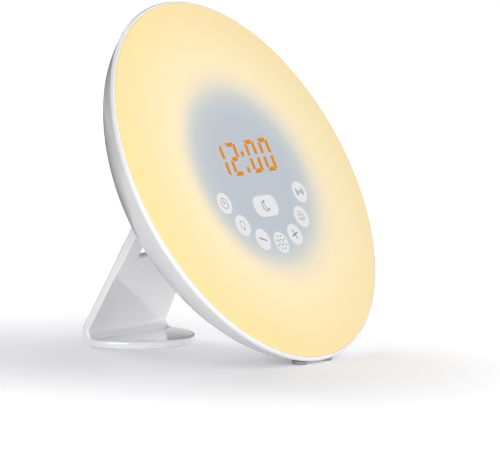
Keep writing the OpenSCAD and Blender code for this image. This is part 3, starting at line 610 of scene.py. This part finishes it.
# One slanted line, and two that cross.
minus_sign = drawn(BOLD, line((-2.9, 1.0), (2.9, -1.0)))
plus_sign = drawn(BOLD, line((-2.7, -0.9), (2.7, 0.9)), line((0.8, -2.5), (-0.8, 2.5)))
# A circle with eight spots round it.
spots = [circle(0.26, spot, 10) for spot in circle(3.7, steps=8, start=22.5, end=382.5)]
sun_sign = drawn(THIN, circle(1.6), closed=True) + drawn(MEDIUM, *spots, closed=True)
# Half a circle with five rays, over two lines.
rays = [line(*ends) for ends in zip(*[circle(r, (0, 0), 5, 20, 160) for r in (2.4, 3.4)])]
sunrise_sign = drawn(THIN, circle(1.5, (0, -0.2), 24, 0, 180), line((-3.2, -0.9), (3.2, -0.9)),
                     line((-2.0, -1.9), (2.0, -1.9)), *rays)
# A spot between two pairs of arcs, right and left.
arcs = [circle(r, (0, 0), 16, side - 42, side + 42) for r in (1.7, 2.9) for side in (0, 180)]
waves_sign = drawn(WAVE, circle(0.32, steps=12), closed=True) + drawn(WAVE, *arcs)

# %% Print the signs on the keys
signs = [clock_sign, bulb_sign, minus_sign, sun_sign, plus_sign, sunrise_sign, waves_sign,
         moon_sign()]
key_places = circle(KEY_RING_R, (0, 0), 7, -90 - 3 * KEY_STEP, 3 * KEY_STEP - 90)
sign_skins = [stroke(path + place, width, FACE_PROUD, FACE_PROUD + SIGN_T, closed)
              for sign, place in zip(signs, [*key_places, (0, SNOOZE_Y)])
              for path, width, closed in sign]
key_signs = make_mesh("key_signs", sign_skins)
finish_piece(key_signs, "clock")

# %% [markdown]
# ## The lit strokes
#
# Light spreads a little in the opal plate, so a lit stroke looks bolder than its window. We move
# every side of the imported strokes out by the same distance.

# %% Lit strokes, grown
LIGHT_SPREAD = 0.1
WELD = 0.001
SIDE_SHARE = 0.5


def grow_sides(piece, by, along):
    """Prisms that stand along a direction, with their sides moved out by d. Each side is a
    rectangle, so its triangles' angles at a corner add up to a right angle, and the sum m of
    angle / 90 degrees times normal is that of the two side normals. The corner moves by
    2 d m / |m|^2."""
    mesh = piece.data
    mesh.calc_loop_triangles()
    corners = np.empty(len(mesh.loop_triangles) * 3, dtype=np.int32)
    mesh.loop_triangles.foreach_get("vertices", corners)
    welded, index = np.unique(np.round(mesh_points(mesh) / (WELD * MM)), axis=0,
                              return_inverse=True)
    points, corners = welded * WELD * MM, index.reshape(-1)[corners].reshape(-1, 3)
    around = points[corners]
    ahead, back = np.roll(around, -1, 1) - around, np.roll(around, 1, 1) - around
    length = np.linalg.norm(ahead, axis=2) * np.linalg.norm(back, axis=2)
    angle = np.arccos(np.clip((ahead * back).sum(2) / length, -1, 1))
    normal = np.cross(ahead[:, 0], back[:, 0])
    normal /= np.linalg.norm(normal, axis=1, keepdims=True)
    side = np.abs(normal @ along) < SIDE_SHARE
    total = np.zeros_like(points)
    np.add.at(total, corners[side], angle[side][..., None] * normal[side][:, None] / (np.pi / 2))
    size = (total ** 2).sum(1, keepdims=True)
    return points + 2 * by * MM * total / size, corners.tolist()


grown = grow_sides(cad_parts["lit_segments"], LIGHT_SPREAD, OUT_OF_FACE)
bold_strokes = make_mesh("lit_strokes", [grown], as_given)
finish_piece(bold_strokes, "clock", ["lit_segments"])

# %% [markdown]
# ## The bent stand
#
# The stand is one plate bent into a V: a half-round foot, a rounded bend and a tapered upright
# with a notch between two arms. A plate like this is easiest to draw flat. We draw its outline,
# carry a rounded edge round it, slice it where it has to bend, and then roll the flat points on to
# the V. The arms' front climbs a little beside the notch, which gives the crease that shows.

# %% The flat outline
STAND_W = 73.0
STAND_TAPER = math.radians(5.2)
BEND_R = 3.6
FOOT_L = 29.0
NOTCH_START = 40.5
NOTCH_HALF = 19.4
NOTCH_CORNER = 2.5
ARM_PROUD = 0.8
ARM_FADE = 12.5
ARM_STEP = 0.35
STAND_EDGE = 1.0
UPRIGHT_TOP = 84.0
BEND_SLICES = 25
bend_turn = math.pi / 2 + STAND_LEAN
bend_length = (BEND_R + STAND_T / 2) * bend_turn


def stand_outline():
    """Half an ellipse for the foot, an upright whose sides lean in by the taper, and a notch whose
    corners are arcs."""
    foot = circle(1, (0, 0), 97, -180, 0) * (STAND_W / 2, FOOT_L)
    top_x = STAND_W / 2 - UPRIGHT_TOP * math.tan(STAND_TAPER)
    top_y = bend_length + UPRIGHT_TOP
    centre = np.array([NOTCH_HALF, bend_length + NOTCH_START]) + NOTCH_CORNER * np.array([-1, 1])
    right = circle(NOTCH_CORNER, centre, 9, 0, -90)
    left = circle(NOTCH_CORNER, centre * (-1, 1), 9, -90, -180)
    return np.concatenate([
        foot, [[STAND_W / 2, bend_length], [top_x, top_y], [NOTCH_HALF, top_y]],
        right, left, [[-NOTCH_HALF, top_y], [-top_x, top_y], [-STAND_W / 2, bend_length]],
    ])


# %% Slice it and roll it on to the V
bend_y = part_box("stand")[1].y / MM - BEND_R - STAND_T


def roll_on_to_v(points):
    """Flat (x, along, front) to the V: level up to the bend, an arc about the bend's centre over
    its length, and straight on up the leaning upright. The front face gets the arms' lift."""
    x, along, front = points.T
    up = along - bend_length
    arm = np.clip((np.abs(x) - NOTCH_HALF) / ARM_STEP, 0, 1)
    climb = np.clip((up - NOTCH_START + ARM_FADE) / ARM_FADE, 0, 1)
    front = front + ARM_PROUD * arm * climb * np.clip(1 + front / STAND_T, 0, 1)
    turn = np.clip(along / bend_length, 0, 1) * bend_turn - np.pi / 2
    radius = BEND_R - front
    y = bend_y + radius * np.cos(turn) + np.minimum(along, 0)
    z = BEND_R + STAND_T + radius * np.sin(turn)
    y -= np.maximum(up, 0) * math.sin(STAND_LEAN)
    z += np.maximum(up, 0) * math.cos(STAND_LEAN)
    return np.stack([x, y, z], 1)


def slice_at(shape, point, normal, **what):
    """Cuts every face that a plane crosses, in two."""
    everything = shape.verts[:] + shape.edges[:] + shape.faces[:]
    return bmesh.ops.bisect_plane(shape, geom=everything, plane_co=point, plane_no=normal, **what)


flat = make_mesh("stand_plate", [plate(stand_outline(), -STAND_T, 0, STAND_EDGE, 5)], as_given)
shape = bmesh.new()
shape.from_mesh(flat.data)
bend_lines = np.linspace(0, bend_length, BEND_SLICES)
crease_lines = bend_length + NOTCH_START - np.array([ARM_FADE, 0])
for along in np.concatenate([bend_lines, crease_lines]):
    slice_at(shape, (0, along, 0), (0, 1, 0))
for x in (-NOTCH_HALF - ARM_STEP, -NOTCH_HALF, NOTCH_HALF, NOTCH_HALF + ARM_STEP):
    slice_at(shape, (x, 0, 0), (1, 0, 0))
shape.to_mesh(flat.data)
bent = from_table(roll_on_to_v(mesh_points(flat.data)))
flat.data.vertices.foreach_set("co", bent.ravel())

# %% [markdown]
# The upright's top is cut parallel to the clock's back panel, a hair short of it, and a tongue
# runs on from each arm into its pocket. When the stand is pulled out, the tongues come with it.

# %% Cut the top and add the tongues
PANEL_GAP = 0.25
TONGUE_ROOT = 3.0
TONGUE_CHAMFER = 0.5
panel_point = from_body([0, 0, -BODY_DEPTH - PANEL_GAP])
shape.clear()
shape.from_mesh(flat.data)
cut = slice_at(shape, panel_point, OUT_OF_FACE, clear_outer=True)
rim_edges = [e for e in cut["geom_cut"] if isinstance(e, bmesh.types.BMEdge)]
bmesh.ops.holes_fill(shape, edges=rim_edges, sides=0)
shape.to_mesh(flat.data)
shape.free()
outwards(flat)


def tongue(side):
    """A straight bar from inside the plate to the pocket's floor, chamfered at its end."""
    return skin([tongue_ring(side, grow, up=up) for grow, up in (
        (0, -TONGUE_ROOT), (0, TONGUE_L - TONGUE_CHAMFER), (-TONGUE_CHAMFER, TONGUE_L))])


join_or_cut(flat, [tongue(side) for side in (-1, 1)], "UNION")
finish_piece(flat, "stand", ["stand"])

# %% [markdown]
# ## Rubber feet
#
# Two small round pads carry the body's lowest line. Each is a turned drum with a soft lower edge,
# and its top is buried in the housing's wall.

# %% The feet
FOOT_X = 12.0
FOOT_LOW_R = 3.5
FOOT_HIGH_R = 3.9
FOOT_TOP_R = 3.8
FOOT_TOP = 1.95
FOOT_CHAMFER = 0.3
FOOT_EDGE = 0.45
foot_y = np.mean(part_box("front_feet"), axis=0)[1] / MM
foot_section = np.concatenate([
    circle(FOOT_EDGE, (FOOT_LOW_R - FOOT_EDGE, FOOT_EDGE), 6, -90, 0),
    [[FOOT_HIGH_R, FOOT_TOP - FOOT_CHAMFER], [FOOT_TOP_R, FOOT_TOP]],
])
feet = make_mesh("rubber_feet", [revolve(foot_section, 48, (x, foot_y))
                                 for x in (-FOOT_X, FOOT_X)], from_table)
finish_piece(feet, "clock", ["front_feet"])

# %% [markdown]
# ## The battery door
#
# A coin turns this round door. It is a thin disc with a soft edge, a slot for the coin and two
# lugs that lock it, and it turns on its own body.

# %% The door
DOOR_T = 2.6
DOOR_EDGE = 0.35
LUG_ROOT_R = DOOR_R - 1.0
LUG_REACH = 13.2
LUG_T = 1.0
LUG_SPAN = math.radians(24)
SLOT_L = 10.0
SLOT_W = 1.8
SLOT_DEPTH = 1.0
door_in = BODY_DEPTH - DOOR_T
door = make_mesh("battery_door_disc",
                 [plate(circle(DOOR_R, (0, DOOR_Y), 128), -BODY_DEPTH, -door_in, DOOR_EDGE)])
outwards(door)
lug_outline = lobed(LUG_ROOT_R, LUG_REACH, LUG_SPAN, 0)
join_or_cut(door, [plate(lug_outline, -door_in - LUG_T, -door_in)], "UNION")
slot_end = circle(SLOT_W / 2, (SLOT_L / 2 - SLOT_W / 2, DOOR_Y), 12, -90, 90)
slot_outline = np.concatenate([slot_end, [0, 2 * DOOR_Y] - slot_end])
join_or_cut(door, [plate(slot_outline, -PAST_BACK, SLOT_DEPTH - BODY_DEPTH)], "DIFFERENCE")
finish_piece(door, "battery_door", ["battery_door"])

# %% [markdown]
# ## Materials: the helpers
#
# Colours are written as the sRGB hex values that a paint card would give, and one function turns
# them to the linear values that a shader needs. One more adds a node with its settings and links.

# %% Colour and node helpers
NOISE_LOW, NOISE_HIGH = 0.3, 0.7


def linear(hex_colour):
    """An sRGB hex colour as linear red, green, blue and an alpha of 1."""
    coded = np.array([int(hex_colour[i:i + 2], 16) for i in (1, 3, 5)]) / 255
    plain = np.where(coded <= 0.04045, coded / 12.92, ((coded + 0.055) / 1.055) ** 2.4)
    return (*plain.tolist(), 1.0)


def add_node(tree, kind, sockets=None, **settings):
    """Adds a node, such as ShaderNodeMath for Math, sets its settings, and fills its sockets with
    values or links."""
    made = tree.nodes.new("ShaderNode" + kind)
    for name, value in settings.items():
        setattr(made, name, value)
    for name, value in (sockets or {}).items():
        if isinstance(value, bpy.types.NodeSocket):
            tree.links.new(value, made.inputs[name])
        else:
            made.inputs[name].default_value = value
    return made


def new_material(name, colour, roughness, **sockets):
    """A material with its constant values on the Principled shader's own sockets."""
    material = bpy.data.materials.new(name)
    material.use_nodes = True
    shader = material.node_tree.nodes["Principled BSDF"]
    shader.inputs["Base Color"].default_value = linear(colour)
    shader.inputs["Roughness"].default_value = roughness
    for socket, value in sockets.items():
        shader.inputs[socket.replace("_", " ")].default_value = value
    return material, material.node_tree, shader


def add_grain(tree, shader, grain, depth, spread, detail=3.0):
    """Moulded grain: noise with cells of a given size in mm lifts the surface by a depth in mm,
    and lets the roughness vary about its value by the spread."""
    place = add_node(tree, "TexCoord").outputs["Object"]
    noise = add_node(tree, "TexNoise",
                     {"Vector": place, "Scale": 1 / (grain * MM), "Detail": detail})
    bump = add_node(tree, "Bump",
                    {"Height": noise.outputs["Fac"], "Distance": depth * MM})
    middle = shader.inputs["Roughness"].default_value
    rough = add_node(tree, "MapRange",
                     {"Value": noise.outputs["Fac"], "From Min": NOISE_LOW, "From Max": NOISE_HIGH,
                      "To Min": middle - spread, "To Max": middle + spread})
    tree.links.new(bump.outputs["Normal"], shader.inputs["Normal"])
    tree.links.new(rough.outputs["Result"], shader.inputs["Roughness"])


# %% [markdown]
# ## Glossy white ABS
#
# The housing and the stand are moulded in glossy white ABS from a polished mould. The eye gets a
# clean soft reflection and a very faint orange peel, about 4 mm from ripple to ripple. The stand
# is lacquered too, so its bend and its foot mirror what is round them.

# %% The white mouldings
LACQUER_ROUGHNESS, LACQUER_IOR = 0.06, 1.75


def glossy_abs(name, colour, roughness, lacquer=0.0):
    """Polished ABS under a share of clear lacquer."""
    material, tree, shader = new_material(name, colour, roughness, IOR=1.54, Coat_Weight=lacquer,
                                          Coat_Roughness=LACQUER_ROUGHNESS, Coat_IOR=LACQUER_IOR)
    add_grain(tree, shader, grain=4.0, depth=0.001, spread=0.03, detail=1.0)
    return material


housing_abs = glossy_abs("housing_white_ABS", "#F0F0F1", 0.22)
stand_abs = glossy_abs("stand_white_ABS", "#F1F1F2", 0.2, lacquer=1.0)
door_abs = glossy_abs("door_white_ABS", "#ECECED", 0.32)

# %% [markdown]
# ## The opal face
#
# Opal PMMA scatters the light of two rings of diodes, so the glow follows the distance from the
# middle: grey where a shroud keeps the lamp's light off the display, then cream, then a warmer
# yellow towards the rim. One ramp gives this glow, and it is painted into the base colour too, so
# the room lights a painted glow and a painted grey shade as if they were the plastic's own colour.
# The lamp inside adds a share of the same colour as real emission.

# %% The lit diffuser
# Painted glow and shade: the lamp's light, and the shrouded middle's grey, given as colours.
FACE_GLOW_COLOURS = [(0.30, "#99A0A7"), (0.38, "#9CA3A7"), (0.42, "#A2A5A7"), (0.46, "#A9ABA6"),
                (0.50, "#B7B3A5"), (0.54, "#C4B9A2"), (0.58, "#CBBD9D"), (0.64, "#CFC099"),
                (0.75, "#CFBE93"), (0.93, "#CFBA88"), (1.10, "#CFB981")]
LAMP_GLOW = 0.575
WARM_FROM = 0.5
PALER_TO_THE_RIGHT = 0.43
RAMP_FROM, RAMP_TO = 0.3, 1.1


def distance_from_middle(tree):
    """Distance from the body's axis as a share of the face's radius, read along the face. Past
    half way out it is lengthened to the left and shortened to the right, by a part of x times
    the distance past half way, which makes the painted glow paler to the right."""
    place = add_node(tree, "TexCoord").outputs["Object"]
    on_face = add_node(tree, "Mapping",
                       {"Vector": place, "Location": body_origin,
                        "Rotation": (math.pi / 2 - LEAN, 0, 0),
                        "Scale": (DIFFUSER_R * MM,) * 3}, vector_type="TEXTURE")
    parts = add_node(tree, "SeparateXYZ", {"Vector": on_face.outputs["Vector"]})
    across = parts.outputs["X"]
    flat_place = add_node(tree, "CombineXYZ", {"X": across, "Y": parts.outputs["Y"]})
    length = add_node(tree, "VectorMath", {0: flat_place.outputs["Vector"]},
                      operation="LENGTH").outputs["Value"]
    past = add_node(tree, "Math", {0: length, 1: WARM_FROM}, operation="SUBTRACT")
    warm = add_node(tree, "Math", {0: past.outputs["Value"], 1: 0.0}, operation="MAXIMUM")
    pull = add_node(tree, "Math", {0: across, 1: -PALER_TO_THE_RIGHT}, operation="MULTIPLY")
    return add_node(tree, "Math", {0: warm.outputs["Value"], 1: pull.outputs["Value"], 2: length},
                    operation="MULTIPLY_ADD").outputs["Value"]


def add_ramp(tree, share, stops):
    """A colour ramp through stops at shares of the face's radius, eased between them."""
    along = add_node(tree, "MapRange", {"Value": share, "From Min": RAMP_FROM, "From Max": RAMP_TO})
    ramp = add_node(tree, "ValToRGB", {"Fac": along.outputs["Result"]})
    ramp.color_ramp.interpolation = "CARDINAL"
    while len(ramp.color_ramp.elements) < len(stops):
        ramp.color_ramp.elements.new(0.5)
    for element, (position, colour) in zip(ramp.color_ramp.elements, stops):
        element.position = (position - RAMP_FROM) / (RAMP_TO - RAMP_FROM)
        element.color = linear(colour)
    return ramp.outputs["Color"]


opal, opal_tree, opal_shader = new_material("opal_face_PMMA", "#CEBC8C", 0.38, IOR=1.49,
                                            Emission_Strength=LAMP_GLOW)
add_grain(opal_tree, opal_shader, grain=0.8, depth=0.004, spread=0.04)
face_glow_colour = add_ramp(opal_tree, distance_from_middle(opal_tree), FACE_GLOW_COLOURS)
# The same ramp paints the glow into the base colour and colours the real emission.
opal_tree.links.new(face_glow_colour, opal_shader.inputs["Base Color"])
opal_tree.links.new(face_glow_colour, opal_shader.inputs["Emission Color"])

# %% [markdown]
# ## Keys, digits and signs
#
# The keys are printed white film under the face, with a faint painted glow. The digits are orange
# diodes behind a thin window. The unlit strokes show as a faint warm grey with a faint painted
# glow, and the signs are grey screen-print ink with a fainter painted glow.

# %% Film, diodes and ink
def lit_film(name, colour, glow, strength, roughness=0.35, mirror=0.5):
    """Printed film with a little light of one colour behind it: lit diodes for the digits, and a
    painted glow for the keys, the unlit strokes and the signs.
    """
    material, tree, shader = new_material(name, colour, roughness, IOR=1.5,
                                          Specular_IOR_Level=mirror, Emission_Strength=strength)
    shader.inputs["Emission Color"].default_value = linear(glow)
    add_grain(tree, shader, grain=0.6, depth=0.003, spread=0.05)
    return material


# Only the lit digits are lamps; the glow of the keys, the unlit strokes and the signs is painted.
key_film_glow = lit_film("key_white_film_painted_glow", "#CECFD0", "#FFFFFF", 0.165)
digit_lit = lit_film("digit_orange_diode", "#A86800", "#FF9C00", 0.335, mirror=0.04)
unlit_digit_glow = lit_film("digit_unlit_painted_glow", "#AEB0B8", "#FFE8E8", 0.13)
sign_ink_glow = lit_film("sign_grey_ink_painted_glow", "#6E6F72", "#FFFFFF", 0.07, roughness=0.5)

# %% [markdown]
# ## Rubber, metal and the pieces inside
#
# Each small piece has its material's plain finish. Rubber and nylon are rough, bright metal is
# fully metallic and keeps its default IOR, and the boards have solder mask over woven glass.

# %% A finish for every slot
METALS = {"screw_steel", "pin_nickel", "speaker_steel", "cell_steel", "contact_gold"}
FINISHES = {
    # slot: (material's name, colour, roughness, grain and depth in mm)
    "foot_rubber": ("foot_grey_rubber", "#949598", 0.75, 0.35, 0.03),
    "grille_grey": ("grille_white_ABS", "#D6D7D9", 0.45, 0.8, 0.01),
    "screw_steel": ("screw_zinc_steel", "#A9ABAD", 0.35, 0.5, 0.01),
    "jack_black": ("jack_black_nylon", "#17181A", 0.45, 0.5, 0.01),
    "pin_nickel": ("pin_nickel_plate", "#C9C6BD", 0.22, 0.8, 0.004),
    "white_inner": ("frame_white_ABS", "#E4E4E2", 0.5, 0.8, 0.01),
    "module_grey": ("display_grey_PC", "#3C3E42", 0.4, 0.8, 0.008),
    "foam_dark": ("foam_dark_EVA", "#2B2C2E", 0.95, 0.5, 0.08),
    "board_green": ("board_green_FR4", "#1E5A35", 0.4, 0.6, 0.01),
    "board_white": ("lamp_board_white_mask", "#EDEEEA", 0.4, 0.6, 0.01),
    "chip_black": ("chip_black_epoxy", "#1B1C1E", 0.6, 0.3, 0.01),
    "led_yellow": ("diode_yellow_phosphor", "#E8D36B", 0.5, 0.3, 0.01),
    "capacitor_blue": ("capacitor_blue_sleeve", "#23304F", 0.35, 0.8, 0.006),
    "ferrite": ("inductor_ferrite", "#303134", 0.7, 0.3, 0.02),
    "connector_ivory": ("connector_ivory_nylon", "#E2DCC6", 0.5, 0.6, 0.01),
    "cable_grey": ("cable_grey_PVC", "#A7A9AC", 0.5, 0.5, 0.01),
    "speaker_steel": ("speaker_stamped_steel", "#9FA1A4", 0.38, 0.6, 0.01),
    "cone_black": ("cone_black_paper", "#1C1C1D", 0.85, 0.3, 0.03),
    "lead_red": ("lead_red_PVC", "#A81E22", 0.45, 0.5, 0.008),
    "lead_black": ("lead_black_PVC", "#1D1D1F", 0.45, 0.5, 0.008),
    "cell_steel": ("cell_stainless_steel", "#B9BABB", 0.25, 0.6, 0.004),
    "contact_gold": ("contact_gold_plate", "#D9B45B", 0.25, 0.6, 0.004),
}
made_finishes = {
    "white_housing": housing_abs, "stand_white": stand_abs, "opal_lamp": opal,
    "key_white": key_film_glow, "digit_lit": digit_lit, "digit_unlit": unlit_digit_glow,
}
for slot, (name, colour, roughness, grain, depth) in FINISHES.items():
    material, tree, shader = new_material(name, colour, roughness, Metallic=float(slot in METALS))
    add_grain(tree, shader, grain, depth, spread=0.05)
    made_finishes[slot] = material

print(len(made_finishes), "finishes made")

# %% [markdown]
# ## Handing out the finishes
#
# A new piece takes the finish made for it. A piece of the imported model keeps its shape, and only
# the material in its slot is exchanged.

# %% Dress every piece
for node_name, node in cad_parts.items():
    for place in node.material_slots:
        given = place.material.name if place.material else ""
        if given in made_finishes:
            place.material = made_finishes[given]
        else:
            print("no finish for", node_name, given)
for piece, material in ((housing, housing_abs), (wells, housing_abs), (lamp_face, opal),
                        (key_signs, sign_ink_glow), (bold_strokes, digit_lit), (flat, stand_abs),
                        (door, door_abs), (feet, made_finishes["foot_rubber"])):
    piece.data.materials.clear()
    piece.data.materials.append(material)

# %% [markdown]
# ## Floor and light
#
# The sweep is white, with one soft shadow. The floor is plain white, and rays that come straight
# from the camera see a little more of it, and more still away from the clock, so that it reads as
# paper white. The smaller lift near the clock is a painted shadow round it, over the real shadow
# that the lamps cast. The room behind it is white where it is seen.

# %% The floor
FLOOR_SIZE = 6.0  # metres
# Middle and reach, in mm, of the painted shadow round the clock.
PAINTED_SHADE_MIDDLE = (-44.0, -4.0)
PAINTED_SHADE_FROM, PAINTED_SHADE_TO = 50.0, 240.0
LIFT_FROM, LIFT_TO = 0.21, 0.46
half = FLOOR_SIZE / 2
corners = half * np.array([[-1, -1, 0], [1, -1, 0], [1, 1, 0], [-1, 1, 0]])
floor = make_mesh("floor", [(corners, [[0, 1, 2, 3]])], as_given)
print("the floor is", FLOOR_SIZE, "m wide")

paper, paper_tree, paper_shader = new_material("floor_white_paper", "#ECECEF", 0.9)
add_grain(paper_tree, paper_shader, grain=3.0, depth=0.01, spread=0.02)


def seen_directly(tree):
    """1 for rays from the camera, and for those that a mirror or glass sends on, else 0."""
    path = add_node(tree, "LightPath")
    seen = path.outputs["Is Camera Ray"]
    for ray in ("Is Glossy Ray", "Is Transmission Ray"):
        seen = add_node(tree, "Math", {0: seen, 1: path.outputs[ray]},
                        operation="MAXIMUM").outputs["Value"]
    return seen


# Painted shadow: the floor's lift is smaller near the clock, so the floor is darker there.
place = add_node(paper_tree, "TexCoord").outputs["Object"]
from_painted_shade = add_node(paper_tree, "VectorMath",
                     {0: place, 1: (PAINTED_SHADE_MIDDLE[0] * MM, PAINTED_SHADE_MIDDLE[1] * MM, 0)},
                     operation="DISTANCE")
rise = add_node(paper_tree, "MapRange",
                {"Value": from_painted_shade.outputs["Value"], "From Min": PAINTED_SHADE_FROM * MM,
                 "From Max": PAINTED_SHADE_TO * MM, "To Min": LIFT_FROM, "To Max": LIFT_TO},
                interpolation_type="SMOOTHSTEP")
lift = add_node(paper_tree, "Emission", {"Strength": rise.outputs["Result"]})
both = add_node(paper_tree, "AddShader",
                {0: paper_shader.outputs["BSDF"], 1: lift.outputs["Emission"]})
choose = add_node(paper_tree, "MixShader",
                  {0: seen_directly(paper_tree), 1: paper_shader.outputs["BSDF"],
                   2: both.outputs["Shader"]})
paper_tree.links.new(choose.outputs["Shader"],
                     paper_tree.nodes["Material Output"].inputs["Surface"])
floor.data.materials.append(paper)

# %% [markdown]
# The room lights the clock mostly from its front and right walls. In a direction d, a wall that
# lies towards w gives its strength times the third power of d . w, and nothing behind it.

# %% The room
ROOM_WALLS = [((0.3, -0.95, 0.1), 1.63), ((0.95, -0.3, 0.1), 2.08)]
WALL_POWER = 3.0
world = bpy.data.worlds.new("room")
world.use_nodes = True
bpy.context.scene.world = world
room = world.node_tree
room.nodes.clear()
direction = add_node(room, "TexCoord").outputs["Generated"]
room_strength = 0.0
for toward, strength in ROOM_WALLS:
    ahead = add_node(room, "VectorMath",
                     {0: direction, 1: Vector(toward).normalized()}, operation="DOT_PRODUCT")
    facing = add_node(room, "Math", {0: ahead.outputs["Value"], 1: 0.0}, operation="MAXIMUM")
    fall = add_node(room, "Math", {0: facing.outputs["Value"], 1: WALL_POWER}, operation="POWER")
    room_strength = add_node(room, "Math",
                             {0: fall.outputs["Value"], 1: strength, 2: room_strength},
                             operation="MULTIPLY_ADD").outputs["Value"]
seen = add_node(room, "Background", {"Color": (1, 1, 1, 1), "Strength": 1.0})
lighting = add_node(room, "Background", {"Color": (1, 1, 1, 1), "Strength": room_strength})
blend = add_node(room, "MixShader",
                 {0: seen_directly(room), 1: lighting.outputs["Background"],
                  2: seen.outputs["Background"]})
add_node(room, "OutputWorld", {"Surface": blend.outputs["Shader"]})
print("the room has", len(ROOM_WALLS), "bright walls")

# %% [markdown]
# Three soft boxes give the forms their direction: one beside the camera, one at the left and one
# high behind, which leaves the foot's top in shade and makes the lip shine. Each is a square lamp
# that faces the clock and doesn't show in the picture.

# %% The soft boxes
AIM_HEIGHT = 0.09  # metres
# name: (place and side in metres, power in watts)
SOFT_BOXES = {
    "camera_box": ((-1.6, -1.1, 0.35), 0.65, 12.8),
    "left_box": ((-1.9, -0.5, 0.35), 0.65, 11.8),
    "back_box": ((0.5, 1.3, 1.3), 1.2, 11.5),
}
for name, (place, size, watts) in SOFT_BOXES.items():
    lamp = bpy.data.lights.new(name, "AREA")
    lamp.size = size
    lamp.energy = watts
    soft_box = bpy.data.objects.new(name, lamp)
    soft_box.location = place
    towards = Vector((0, 0, AIM_HEIGHT)) - Vector(place)
    soft_box.rotation_euler = towards.to_track_quat("-Z", "Y").to_euler()
    soft_box.visible_camera = False
    bpy.context.scene.collection.objects.link(soft_box)
    print(name, "gives", watts, "W")

# %% [markdown]
# A white object on white loses its edges. A photographer puts black cards just out of sight, and
# the glossy edges pick up a thin dark line from them. One curved card lies round the clock's far
# side and two stand behind it, with a narrow gap that the foot's top mirrors. Only reflections see
# them.

# %% The black card
CARD_STEPS = 24
CARD_FROM, CARD_TO = -60, 100
# strips between two places: (radius, height) in metres
CARD_EDGES = [((0.2, 0.002), (0.6, 0.002)), ((0.6, 0.003), (0.6, 0.068)),
              ((0.6, 0.080), (0.6, 0.5))]


def curved_card(first, last):
    """A strip swept round between the card's two angles in degrees: the point at angle t is
    (r cos t, r sin t, z)."""
    turn = np.radians(np.linspace(CARD_FROM, CARD_TO, CARD_STEPS))
    points = np.concatenate([np.stack([r * np.cos(turn), r * np.sin(turn), 0 * turn + z], 1)
                             for r, z in (first, last)])
    step = np.arange(CARD_STEPS - 1)
    faces = np.stack([step, step + 1, step + CARD_STEPS + 1, step + CARD_STEPS], 1)
    return points, faces.tolist()


card = make_mesh("black_card", [curved_card(first, last) for first, last in CARD_EDGES], as_given)
for ray in ("camera", "diffuse", "transmission", "shadow"):
    setattr(card, "visible_" + ray, False)
card_black, card_tree, card_shader = new_material("card_black_paper", "#1A1A1A", 0.9)
add_grain(card_tree, card_shader, grain=3.0, depth=0.01, spread=0.02)
card.data.materials.append(card_black)
print("the black card has", len(card.data.polygons), "faces")

# %% Colour management
bpy.context.scene.view_settings.view_transform = "Standard"
